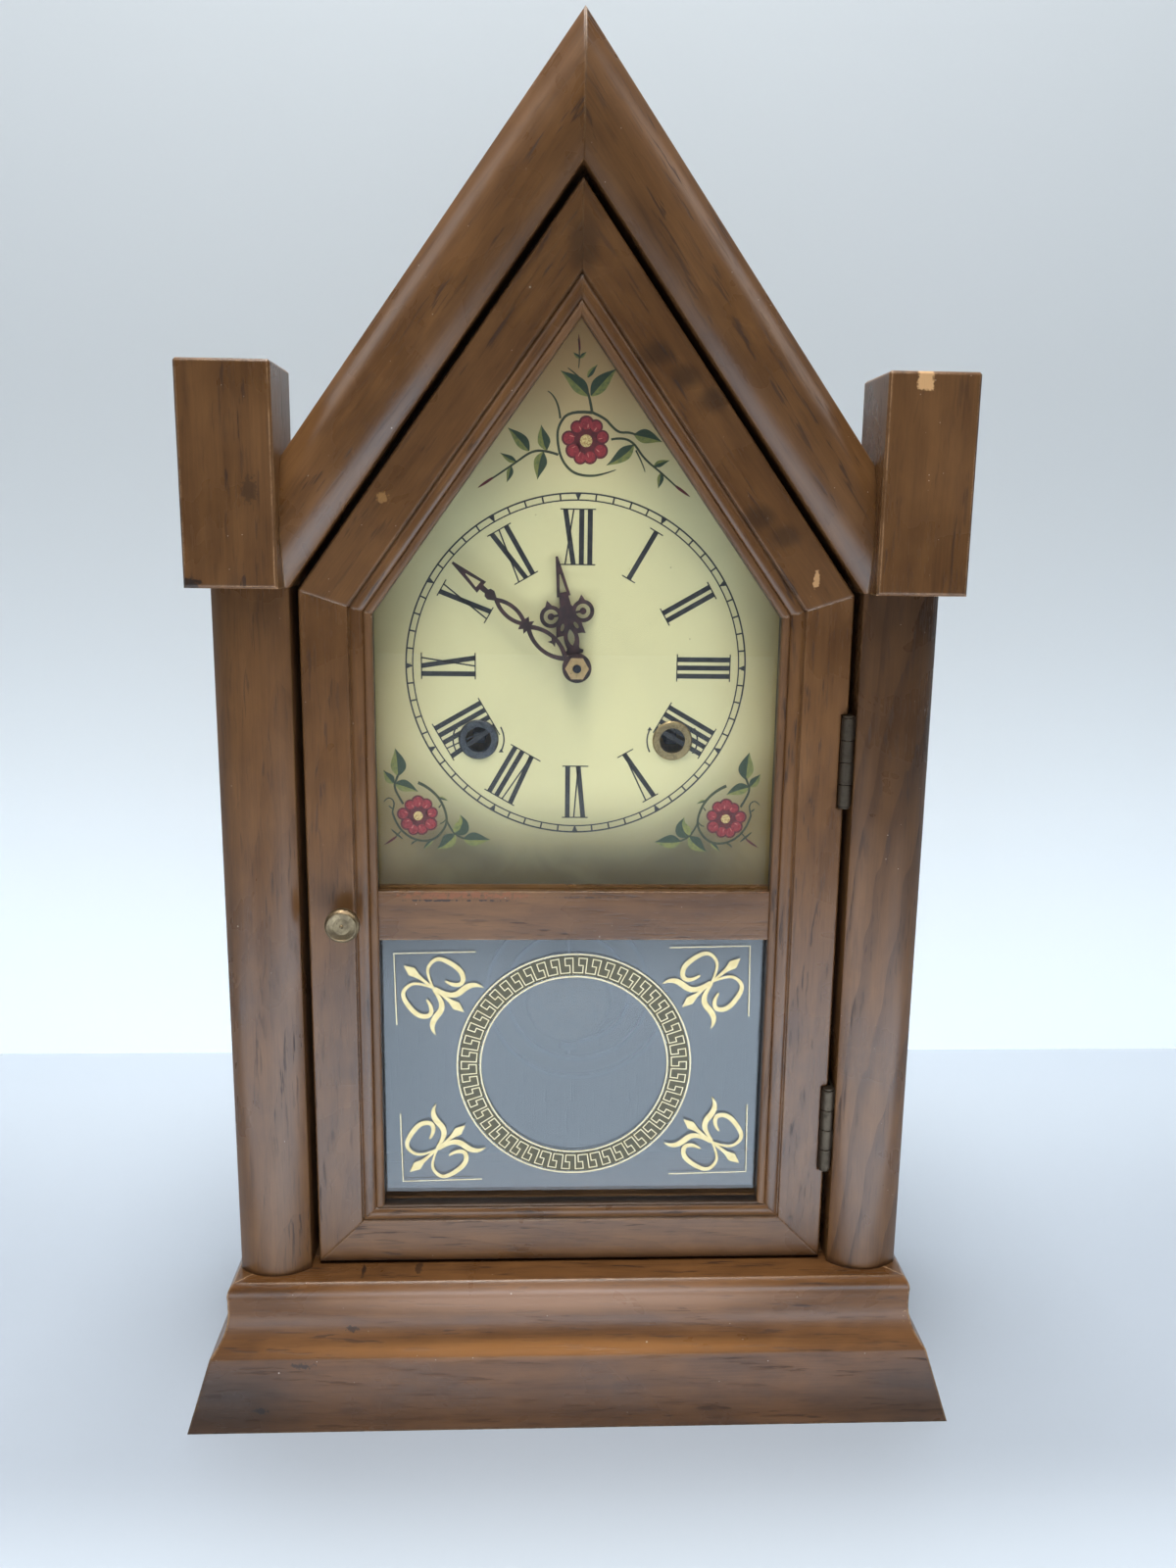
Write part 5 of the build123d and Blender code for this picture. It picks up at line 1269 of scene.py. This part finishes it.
def top_spray(name: str, centre: Point) -> FlowerSpray:
    """The wide spray in the dial's gable.

    Args:
        name: Its name.
        centre: The flower's middle.

    Returns:
        The spray.
    """
    ring = ((2.0, 9.8, 0.36), (-6.0, 10.6, 0.32), (-10.3, 5.0, 0.3), (-10.4, -0.6, 0.3), (-8.9, -6.8, 0.3),
            (-5.0, -11.2, 0.3), (0.0, -12.4, 0.3), (5.5, -12.0, 0.26), (10.9, -10.0, 0.12))
    right = ((2.0, 9.9, 0.34), (6.8, 8.0, 0.3), (9.0, 5.3, 0.3), (12.0, 2.9, 0.28), (15.6, 3.3, 0.28),
             (18.0, 2.4, 0.24))
    rise = ((2.0, 9.8, 0.34), (1.2, 15.3, 0.3), (-2.0, 21.8, 0.22), (-6.8, 25.0, 0.12))
    tendril = ((-9.4, 7.6, 0.26), (-9.7, 11.0, 0.24), (-12.0, 16.0, 0.18), (-14.0, 17.0, 0.1))
    left_branch = ((-10.0, -5.0, 0.3), (-14.4, -3.6, 0.3), (-19.7, -3.8, 0.28), (-25.6, -8.2, 0.24),
                   (-33.6, -13.5, 0.2))
    right_branch = ((9.0, 0.6, 0.28), (12.6, 1.4, 0.28), (17.2, -0.2, 0.28), (20.9, -5.9, 0.26),
                    (28.0, -11.2, 0.24), (33.0, -15.6, 0.18))
    twigs = (((18.0, -3.0, 0.2), (20.9, -8.2, 0.18), (21.5, -10.6, 0.1)),
             ((-3.0, 25.0, 0.1), (-2.4, 30.0, 0.2), (-3.3, 35.0, 0.1)))
    leaves = (
        Leaf((0.6, 15.6), (-9.4, 24.0), 2.4, -0.6, 1),
        Leaf((1.6, 15.6), (10.6, 25.0), 2.5, 0.6, -1),
        Leaf((-14.2, -3.4), (-16.2, 5.3), 2.1, 0.3, 1),
        Leaf((-15.4, -4.2), (-17.5, -13.8), 2.2, -0.3, -1),
        Leaf((-20.6, -3.8), (-28.2, 4.1), 2.1, -0.5, 1),
        Leaf((-25.0, -7.8), (-31.0, -4.6), 1.1, 0.2, 1),
        Leaf((-27.0, -9.2), (-28.6, -15.0), 1.1, 0.2, -1),
        Leaf((17.4, 2.4), (27.4, 0.0), 2.3, 0.5, -1),
        Leaf((17.2, -1.2), (7.4, -8.5), 2.2, 0.6, 1),
        Leaf((24.6, -8.6), (30.4, -6.4), 1.1, 0.2, 1),
        Leaf((27.4, -10.8), (26.4, -16.4), 1.1, 0.2, -1),
        Leaf((-2.5, 28.4), (-5.0, 30.4), 0.6, 0.1, 1),
        Leaf((-2.5, 28.4), (-0.2, 30.6), 0.6, 0.1, -1),
        Leaf((0.2, 21.8), (3.8, 26.4), 0.9, 0.2, 1),
    )
    buds = (((-2.6, 31.0, 0.25), (-2.8, 33.6, 0.6), (-3.1, 36.4, 0.1)),
            ((-33.6, -13.4, 0.4), (-36.4, -15.2, 0.9), (-39.0, -17.0, 0.1)),
            ((32.8, -15.4, 0.4), (35.4, -17.2, 0.95), (38.2, -19.2, 0.1)))
    stems = (ring, right, rise, tendril, left_branch, right_branch, *twigs)
    return FlowerSpray(name, centre, stems, leaves, buds, petal=2.65, petal_ring=6.0, heart=2.2)


@dataclass
class GlassTransfer:
    """Gold and cream transfer on the lower glass: key ring, corner ornaments and corner lines."""

    centre: Point = (0.5 * MM, 133.4 * MM)
    ring_outer: float = 45.5 * MM
    ring_inner: float = 36.5 * MM
    key_low: float = 38.1 * MM
    key_high: float = 43.95 * MM
    keys: int = 50
    line: float = 0.34 * MM
    top_ornament: Point = (53.6 * MM, 33.0 * MM)
    foot_ornament: Point = (54.4 * MM, 34.0 * MM)
    frame_at: Point = (68.2 * MM, 47.3 * MM)
    frame_arms: Point = (31.0 * MM, 28.8 * MM)
    tilt: float = -1.2
    film: float = 0.03 * MM
    ground_film: float = 0.02 * MM
    ground_lift: float = 0.025 * MM
    print_lift: float = 0.05 * MM
    key_lift: float = 0.08 * MM
    face: float = field(init=False)

    def __post_init__(self) -> None:
        """Find the front face of the glass."""
        self.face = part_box("lower_glass")[0][1]

    def lay(self, name: str, drawn: Stroke, material: Material) -> None:
        """Put strokes on the door, turned with the slightly crooked transfer.

        Args:
            name: Name of the piece.
            drawn: The strokes.
            material: Their paint.
        """
        mesh = drawn.mesh()
        middle = Matrix.Translation((self.centre[0], 0, self.centre[1]))
        mesh.transform(middle @ Matrix.Rotation(math.radians(self.tilt), 4, "Y") @ middle.inverted())
        piece(name, mesh, material, "door")

    def circle(self, radius: float, half: float) -> list[Triple]:
        """Points of a round stroke about the transfer's middle."""
        return [(*polar(self.centre, radius, 3.0 * step), half) for step in range(120)]

    def build(self, cream: Material, gold: Material, olive: Material) -> None:
        """Print the transfer.

        Args:
            cream: Paint of the ring and the corner lines.
            gold: Paint of the corner ornaments.
            olive: Dark ground of the key band.
        """
        key = Stroke("key_ring", self.face - self.key_lift, self.film)
        for radius in (self.ring_outer, self.ring_inner):
            key.smooth(self.circle(radius, self.line), closed=True)
        unit = ((0.0, 0.0), (0.76, 0.0), (0.76, 0.5), (0.43, 0.5), (0.43, 1.0), (1.0, 1.0))
        path = []
        for number in range(self.keys):
            for along, up in unit:
                clock = 360.0 * (number + along) / self.keys
                radius = self.key_low + (self.key_high - self.key_low) * up
                path.append((*polar(self.centre, radius, clock), self.line * 0.95))
        key.straight(path, closed=True)
        self.lay("glass_key_ring", key, cream)
        ground = Stroke("key_ground", self.face - self.ground_lift, self.ground_film)
        middle, half = (self.ring_outer + self.ring_inner) / 2, (self.ring_outer - self.ring_inner) / 2
        ground.smooth(self.circle(middle, half), closed=True)
        self.lay("glass_key_ground", ground, olive)
        self.corners(cream, gold)

    def corners(self, cream: Material, gold: Material) -> None:
        """Print the corner ornaments and the lines that frame them.

        Args:
            cream: Paint of the lines.
            gold: Paint of the ornaments.
        """
        spears = (((0, 0, 0.55), (-3.6, 3.1, 0.65), (-5.7, 4.9, 0.95), (-8.1, 6.9, 2.15), (-11.0, 9.4, 0.03)),
                  ((0, 0, 0.55), (3.8, -3.3, 0.6), (6.1, -5.3, 0.9), (8.5, -7.4, 2.0), (11.4, -10.0, 0.03)))
        scroll = ((0, 0, 0.4), (-1.8, 4.1, 0.52), (-2.2, 8.6, 0.65), (1.6, 12.4, 0.85), (6.7, 10.2, 1.05),
                  (11.4, 6.1, 1.1), (11.4, 1.4, 1.0), (7.2, 0.9, 0.85), (4.6, 2.8, 0.38))
        leaf = ((0.6, 0.2, 0.45), (4.1, -2.6, 0.95), (8.7, -3.2, 1.3), (12.8, 0.6, 1.35), (16.9, 1.2, 0.85),
                (19.2, -0.3, 0.06))
        ornament = Stroke("corner_ornaments", self.face - self.print_lift, self.film)
        lines = Stroke("corner_lines", self.face - self.print_lift, self.film)
        for right in (-1, 1):
            for up in (-1, 1):
                out, rise = self.top_ornament if up > 0 else self.foot_ornament
                middle = (self.centre[0] + right * out, self.centre[1] + up * rise)

                def place(x: float, z: float, half: float) -> Triple:
                    """A point of the upper left ornament, turned over for this corner."""
                    return (middle[0] - right * x * MM, middle[1] + up * z * MM, half * MM)

                for line in spears:
                    ornament.straight([place(*point) for point in line])
                for line in (scroll, leaf):
                    ornament.smooth([place(*point) for point in line])
                for line in (scroll, leaf):
                    ornament.smooth([place(-z, -x, half) for x, z, half in line])
                edge = (self.centre[0] + right * self.frame_at[0], self.centre[1] + up * self.frame_at[1])
                half = self.line * 0.8
                lines.straight([(edge[0] - right * self.frame_arms[0], edge[1], half), (*edge, half),
                                (edge[0], edge[1] - up * self.frame_arms[1], half)])
        self.lay("glass_corner_ornaments", ornament, gold)
        self.lay("glass_corner_lines", lines, cream)


@dataclass
class Fasteners:
    """Small screws and nuts that hold the hinges, the movement and the back panel."""

    head: float = 2.0 * MM
    rise: float = 0.4 * MM
    slot: float = 0.45 * MM
    step: float = 11.0 * MM
    leaf_depth: float = 5.2 * MM
    leaf_middle: float = 16.5 * MM
    nut: float = 3.4 * MM
    nut_rise: float = 1.8 * MM
    nut_inset: float = 3.0 * MM
    nut_bevel: float = 0.3 * MM
    cross: Triple = (3.8 * MM, 0.1 * MM, 0.7 * MM)
    cross_turn: float = 0.4

    def screw(self, work: Work, at: Matrix) -> None:
        """Add one slotted head whose face looks along the place's Z.

        Args:
            work: Mesh that takes the head.
            at: Its place.
        """
        made = bmesh.ops.create_circle(work, cap_ends=True, segments=18, radius=self.head, matrix=at)["verts"]
        across = at.to_3x3() @ Vector((1, 0, 0))
        for side in (-1, 1):
            faces = faces_at(made)
            edges = list({edge for face in faces for edge in face.edges})
            wall = at.translation + across * side * self.slot / 2
            cut = bmesh.ops.bisect_plane(work, geom=made + edges + faces, plane_co=wall, plane_no=across)
            made = list({*made, *corners_in(cut["geom_cut"])})
        faces = faces_at(made)
        halves = [face for face in faces
                  if abs((face.calc_center_median() - at.translation).dot(across)) > self.slot / 2]
        lifted = corners_in(bmesh.ops.extrude_face_region(work, geom=halves)["geom"])
        bmesh.ops.translate(work, verts=lifted, vec=at.to_3x3() @ Vector((0, 0, self.rise)))
        bmesh.ops.delete(work, geom=[face for face in faces if face not in halves], context="FACES")

    def leaf_screws(self, node: str, outwards: int) -> Mesh:
        """Three screws on each of a node's two hinge leaves.

        Args:
            node: The node of the leaves.
            outwards: The way that the heads look along X.

        Returns:
            The six heads as one mesh.
        """
        low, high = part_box(node)
        face = high[0] if outwards > 0 else low[0]
        turn = Matrix.Rotation(outwards * math.pi / 2, 4, "Y")

        def build(work: Work) -> None:
            """Add the six heads, with each slot at a turn of its own.

            Args:
                work: Mesh that takes the heads.
            """
            for middle in (low[2] + self.leaf_middle, high[2] - self.leaf_middle):
                for step in (-1, 0, 1):
                    spot = Vector((face, high[1] - self.leaf_depth, middle + step * self.step))
                    spin = Matrix.Rotation(0.7 + 1.9 * step + 40 * middle, 4, "Z")
                    self.screw(work, Matrix.Translation(spot) @ turn @ spin)

        return shaped(build)

    def nuts(self, work: Work) -> None:
        """Add a bevelled six-sided nut at each pillar's end.

        Args:
            work: Mesh that takes the nuts.
        """
        low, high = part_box("plate_pillars")
        for x in (low[0] + self.nut_inset, high[0] - self.nut_inset):
            for z in (low[2] + self.nut_inset, high[2] - self.nut_inset):
                spot = Vector((x, high[1] + self.nut_rise / 2, z))
                at = Matrix.Translation(spot) @ Matrix.Rotation(math.pi / 2, 4, "X")
                made = bmesh.ops.create_cone(work, cap_ends=True, segments=6, radius1=self.nut,
                                             radius2=self.nut, depth=self.nut_rise, matrix=at)["verts"]
                bmesh.ops.bevel(work, geom=edges_at(made), offset=self.nut_bevel, affect="EDGES",
                                segments=1, profile=0.5, material=-1)

    def crosses(self, work: Work) -> None:
        """Add a thin dark cross on each screw of the back panel.

        Args:
            work: Mesh that takes the crosses.
        """
        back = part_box("back_panel_screws")[1][1]
        for x, z in self.panel_screws():
            for turn in (self.cross_turn, self.cross_turn + math.pi / 2):
                carry(work, block(work, self.cross), turn + 90 * z, (x, back, z))

    def build(self, brass: Material, steel: Material, iron: Material) -> None:
        """Add the hinge screws, the nuts of the movement's pillars and the slots of the panel's screws.

        Args:
            brass: Aged brass of the hinge screws.
            steel: Steel of the nuts.
            iron: Dark finish of the slots.
        """
        piece("hinge_door_screws", self.leaf_screws("hinge_door_leaves", 1), brass, "door")
        piece("hinge_case_screws", self.leaf_screws("hinge_case_leaves", -1), brass, "case")
        piece("pillar_nuts", shaped(self.nuts), steel, "case")
        piece("panel_screw_slots", shaped(self.crosses), iron, "case")

    def panel_screws(self) -> list[Point]:
        """Find the back panel's screws from the islands of their node's mesh.

        Returns:
            X and z of the middle of each screw.
        """
        work = bmesh.new()
        work.from_mesh(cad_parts["back_panel_screws"].data)
        bmesh.ops.remove_doubles(work, verts=work.verts[:], dist=1e-6)
        found = []
        left = set(work.verts)
        while left:
            island, edge = set(), [left.pop()]
            while edge:
                vertex = edge.pop()
                island.add(vertex)
                near = {e.other_vert(vertex) for e in vertex.link_edges} & left
                left -= near
                edge.extend(near)
            spots = [v.co for v in island]
            found.append(tuple((min(spot[axis] for spot in spots) + max(spot[axis] for spot in spots)) / 2
                               for axis in (0, 2)))
        work.free()
        return found


@dataclass(frozen=True)
class Lamp:
    """A soft rectangular light that the camera doesn't see, and glossy or matt surfaces only if set so."""

    name: str
    at: Triple
    aim: Triple
    size: Point
    power: float
    colour: Colour = (1, 1, 1)
    mirrored: bool = True
    lit: bool = True

    def add(self) -> None:
        """Put the light into the scene."""
        lamp = bpy.data.lights.new(self.name, "AREA")
        lamp.shape = "RECTANGLE"
        lamp.size, lamp.size_y = self.size
        lamp.energy = self.power
        lamp.color = self.colour
        made = bpy.data.objects.new(self.name, lamp)
        made.location = self.at
        made.rotation_mode = "QUATERNION"
        made.rotation_quaternion = (Vector(self.aim) - Vector(self.at)).to_track_quat("-Z", "Y")
        made.visible_camera = False
        made.visible_glossy = made.visible_transmission = self.mirrored
        made.visible_diffuse = self.lit
        bpy.context.scene.collection.objects.link(made)


@dataclass
class Stage:
    """Pale floor and wall, soft light and the camera, in metres and radians."""

    eye: Triple = (-0.01544, -0.48272, 0.33843)
    yaw: float = 0.04355
    pitch: float = 0.20072
    roll: float = 0.01314
    lens: float = 28.7316
    sensor: float = 36.0
    clip: float = 0.01
    far: float = 3.0
    near: float = -0.65
    wall: float = 0.293
    wall_top: float = 2.2
    glow_half: float = 0.55
    glow_back: float = -0.14
    glow_height: float = 0.004
    glow_colour: Colour = (0.78, 0.95, 1.14)
    shine: float = 3.75
    lift_colour: Colour = (0.84, 0.95, 1.0)
    room_colour: Colour = (0.80, 0.88, 0.97)
    room_light: float = 0.12
    room_seen: float = 0.75

    def plane(self, name: str, half: float, start: Point, end: Point, material: Material,
              mirrored: bool = True, seen: bool = True) -> None:
        """Add one rectangular stage piece.

        Args:
            name: Its name.
            half: Its half width along X.
            start: Y and z of its first edge.
            end: Y and z of its other edge.
            material: Its material.
            mirrored: Whether glossy surfaces show it.
            seen: Whether the camera and matt surfaces see it and it casts a shadow.
        """
        work = bmesh.new()
        spots = ((-half, *start), (half, *start), (half, *end), (-half, *end))
        work.faces.new([work.verts.new(spot) for spot in spots])
        mesh = bpy.data.meshes.new(name)
        work.to_mesh(mesh)
        work.free()
        mesh.materials.append(material)
        made = bpy.data.objects.new(name, mesh)
        made.visible_glossy = mirrored
        made.visible_camera = made.visible_diffuse = made.visible_shadow = seen
        bpy.context.scene.collection.objects.link(made)

    def surface(self, name: str, colour: Colour, one_sided: bool,
                lifts: tuple[tuple[int, float, float, float, float], ...]) -> Material:
        """A matt pale surface, lit a little from behind, which can be clear from its back.

        Args:
            name: Its name.
            colour: Its colour.
            one_sided: Whether its back lets everything through.
            lifts: Lights from behind: axis, where each starts and ends to change, its strength at the two.

        Returns:
            The material.
        """
        made, s, shader, where = new_material(name)
        parts = s.node("ShaderNodeSeparateXYZ", {0: where}).outputs
        # Painted shade: the colour falls to half towards the top, which darkens the wall's upper part.
        upper = s.span(parts[2], 0.0, 0.45)
        lift = 0.0
        for axis, *reach in lifts:
            lift = s.plus(s.span(parts[axis], *reach), lift)
        dim = rgba(tuple(part * 0.5 for part in colour))
        s.fill(shader, {
            "Base Color": s.blend(upper, rgba(colour), dim), "Roughness": 0.6, "Specular IOR Level": 0.2,
            "Emission Color": rgba(self.lift_colour), "Emission Strength": lift,
        })
        if one_sided:
            behind = s.node("ShaderNodeNewGeometry").outputs["Backfacing"]
            s.either(behind, shader, s.node("ShaderNodeBsdfTransparent"))
        return made

    def glow(self) -> Material:
        """A softly graded glow that the panes and the lacquer mirror.

        Returns:
            The material.
        """
        made, s, _, where = new_material("glow_paper")
        x, y, _ = s.node("ShaderNodeSeparateXYZ", {0: where}).outputs
        share = s.times(s.span(x, -0.04, -0.16, 1.0, 0.8), s.span(y, -0.42, -0.6, 1.0, 0.66))
        s.show(s.node("ShaderNodeEmission", {0: rgba(self.glow_colour), 1: s.times(share, self.shine)}))
        return made

    def ground(self) -> None:
        """Add the floor, the wall and the glow that only gloss shows."""
        floor = self.surface("floor_paper", (0.365, 0.408, 0.467), False,
                             ((1, -0.07, -0.14, 0.0, 0.22), (1, 0.02, 0.25, 0.0, 0.18)))
        wall = self.surface("wall_paper", (0.86, 0.93, 0.99), True, ((2, 0.0, 0.3, 0.28, 0.1),))
        self.plane("floor", self.far, (self.near, 0), (self.far, 0), floor)
        self.plane("floor_front", self.far, (-self.far, 0), (self.near, 0), floor, mirrored=False)
        self.plane("wall", self.far, (self.wall, 0), (self.wall, self.wall_top), wall)
        front, back = ((y, self.glow_height) for y in (self.near, self.glow_back))
        self.plane("floor_glow", self.glow_half, front, back, self.glow(), seen=False)

    def lights(self) -> None:
        """Add the lamps and the pale room."""
        lamps = [
            Lamp("top_softbox", at=(-0.04, -0.05, 1.5), aim=(-0.03, -0.05, 0.0), size=(1.7, 0.56), power=52.0,
                 colour=(1.0, 0.99, 0.97)),
            Lamp("side_fill", at=(-0.9, -1.2, 0.8), aim=(0.0, 0.0, 0.3), size=(1.0, 1.0), power=0.8,
                 colour=(1.0, 0.98, 0.95), mirrored=False),
            Lamp("floor_bounce", at=(0.02, -0.245, 0.006), aim=(0.02, -0.245, 1.0), size=(0.5, 0.15),
                 power=1.9, colour=(0.97, 0.95, 0.95), mirrored=False),
        ]
        for side in (-1, 1):
            lamps.append(Lamp(f"sheen_panel_{side}", at=(0.95 * side, -0.5, 1.15), aim=(0.0, -0.04, 0.38),
                              size=(0.5, 0.5), power=2.5, lit=False))
        for lamp in lamps:
            lamp.add()
        world = bpy.data.worlds.new("room")
        world.use_nodes = True
        s = NodeScript(world.node_tree)
        room, pale = (s.node("ShaderNodeBackground", {0: rgba(self.room_colour), 1: strength})
                      for strength in (self.room_light, self.room_seen))
        s.either(s.node("ShaderNodeLightPath").outputs["Is Camera Ray"], room, pale)
        bpy.context.scene.world = world
        bpy.context.scene.view_settings.view_transform = "Standard"

    def camera(self) -> None:
        """Add the camera where the photograph was taken from."""
        level = math.cos(self.pitch)
        ahead = Vector((math.sin(self.yaw) * level, math.cos(self.yaw) * level, -math.sin(self.pitch)))
        right = Vector((math.cos(self.yaw), -math.sin(self.yaw), 0))
        up = right.cross(ahead)
        across = math.cos(self.roll) * right + math.sin(self.roll) * up
        upward = -math.sin(self.roll) * right + math.cos(self.roll) * up
        data = bpy.data.cameras.new("photo_camera")
        data.sensor_fit = "AUTO"
        data.sensor_width = self.sensor
        data.lens = self.lens
        data.clip_start = self.clip
        camera = bpy.data.objects.new("photo_camera", data)
        turn = Matrix((across, upward, -ahead)).transposed().to_4x4()
        camera.matrix_world = Matrix.Translation(self.eye) @ turn
        bpy.context.scene.collection.objects.link(camera)
        bpy.context.scene.camera = camera

    def build(self) -> None:
        """Add the floor, the wall, the lights and the camera."""
        self.ground()
        self.lights()
        self.camera()


FINISHES: tuple[Union[MetalFinish, PaintFinish, GlassFinish], ...] = (
    MetalFinish("aged_brass", (0.27, 0.2, 0.115), (0.11, 0.08, 0.052), 0.36),
    MetalFinish("hinge_bronze", (0.085, 0.064, 0.045), (0.05, 0.038, 0.027), 0.42),
    # Painted shade: the bob's bronze is kept dark as it hangs in the shade inside the case.
    MetalFinish("bob_bronze_painted_shade", (0.06, 0.045, 0.03), (0.035, 0.028, 0.02), 0.5),
    # Dark blued steel, also used as painted shade for the winding arbors.
    MetalFinish("blued_steel_and_shade", (0.05, 0.055, 0.07), (0.03, 0.03, 0.035), 0.45),
    MetalFinish("plate_brass", (0.72, 0.52, 0.24), (0.5, 0.35, 0.16), 0.25),
    MetalFinish("drawn_steel", (0.46, 0.46, 0.48), (0.2, 0.19, 0.18), 0.3),
    MetalFinish("gunmetal", (0.12, 0.125, 0.14), (0.05, 0.05, 0.055), 0.35),
    MetalFinish("bright_brass", (0.72, 0.5, 0.26), (0.5, 0.33, 0.16), 0.3),
    MetalFinish("ring_brass", (0.42, 0.31, 0.16), (0.2, 0.145, 0.075), 0.32),
    PaintFinish("rough_iron", (0.05, 0.05, 0.055), (0.025, 0.025, 0.027), 0.6),
    PaintFinish("black_ink", (0.012, 0.012, 0.016), (0.03, 0.03, 0.032), 0.4),
    PaintFinish("cream_transfer", (0.62, 0.58, 0.38), (0.54, 0.49, 0.3), 0.4),
    PaintFinish("gold_transfer", (0.62, 0.55, 0.29), (0.56, 0.48, 0.23), 0.4),
    PaintFinish("olive_ground", (0.05, 0.046, 0.022), (0.07, 0.064, 0.031), 0.5),
    PaintFinish("hand_lacquer", (0.018, 0.010, 0.012), (0.045, 0.018, 0.02), 0.35),
    PaintFinish("stem_paint", (0.02, 0.026, 0.011), (0.04, 0.048, 0.018)),
    PaintFinish("leaf_paint", (0.018, 0.036, 0.019), (0.034, 0.052, 0.024), scale=900.0),
    PaintFinish("leaf_light_paint", (0.2, 0.2, 0.042), (0.12, 0.14, 0.04), scale=700.0),
    PaintFinish("petal_edge_paint", (0.065, 0.005, 0.008), (0.11, 0.008, 0.011), scale=900.0),
    PaintFinish("petal_paint", (0.27, 0.017, 0.024), (0.17, 0.01, 0.015), scale=900.0),
    PaintFinish("petal_light_paint", (0.56, 0.22, 0.16), (0.44, 0.11, 0.09), scale=900.0),
    PaintFinish("heart_paint", (0.6, 0.46, 0.18), (0.3, 0.16, 0.05), scale=1600.0),
    GlassFinish("sheet_glass"),
)
DRESSED: dict[str, tuple[str, ...]] = {
    "sheet_glass": ("upper_glass", "lower_glass"),
    "aged_brass": ("door_knob",),
    "hinge_bronze": ("hinge_case_leaves", "hinge_door_leaves", "hinge_pins"),
    "gunmetal": ("winding_grommet_left",),
    "ring_brass": ("winding_grommet_right",),
    "bright_brass": ("hand_nut",),
    # The pendulum bob is painted dark as shade inside the closed case.
    "bob_bronze_painted_shade": ("pendulum_bob",),
    "hand_lacquer": ("minute_hand", "hour_hand"),
    "plate_brass": ("front_plate", "back_plate", "hour_wheel", "minute_wheel", "time_great_wheel",
                    "second_wheel", "third_wheel", "escape_wheel", "strike_great_wheel",
                    "strike_second_wheel", "pin_wheel", "fly"),
    # The winding arbors take this dark steel as painted shade deep in their winding holes.
    "blued_steel_and_shade": ("gong_coil", "hammer", "pendulum_rod", "time_winding_arbor", "strike_winding_arbor",
                    "centre_arbor"),
    "drawn_steel": ("catch_plate", "catch_magnet", "back_panel_screws", "plate_pillars", "mainsprings",
                    "anchor"),
    "rough_iron": ("gong_base",),
}


def main() -> None:
    """Build and dress the clock."""
    logging.basicConfig(level=logging.INFO, format="%(name)s: %(message)s")
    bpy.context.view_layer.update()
    looks = {finish.name: finish.material() for finish in FINISHES}
    for look, nodes in DRESSED.items():
        dress(nodes, looks[look])
    CaseWork().dress()
    door = Door()
    door.dress()
    door.knob_details(looks["aged_brass"])
    SightBead().build()
    Fasteners().build(looks["aged_brass"], looks["drawn_steel"], looks["rough_iron"])
    dial = Dial()
    dress(["dial_plate"], DialFinish("dial_paint", (0.0, 0.0, dial.centre[1])).material())
    dial.build(looks["black_ink"])
    for spray in (
        top_spray("top_flower", (2.6 * MM, 369.7 * MM)),
        lower_spray("left_flower", (-59.6 * MM, 230.8 * MM), False),
        lower_spray("right_flower", (58.0 * MM, 230.0 * MM), True),
    ):
        spray.build(dial.front, looks)
    GlassTransfer().build(looks["cream_transfer"], looks["gold_transfer"], looks["olive_ground"])
    Stage().build()


if __name__ == "__main__":
    main()
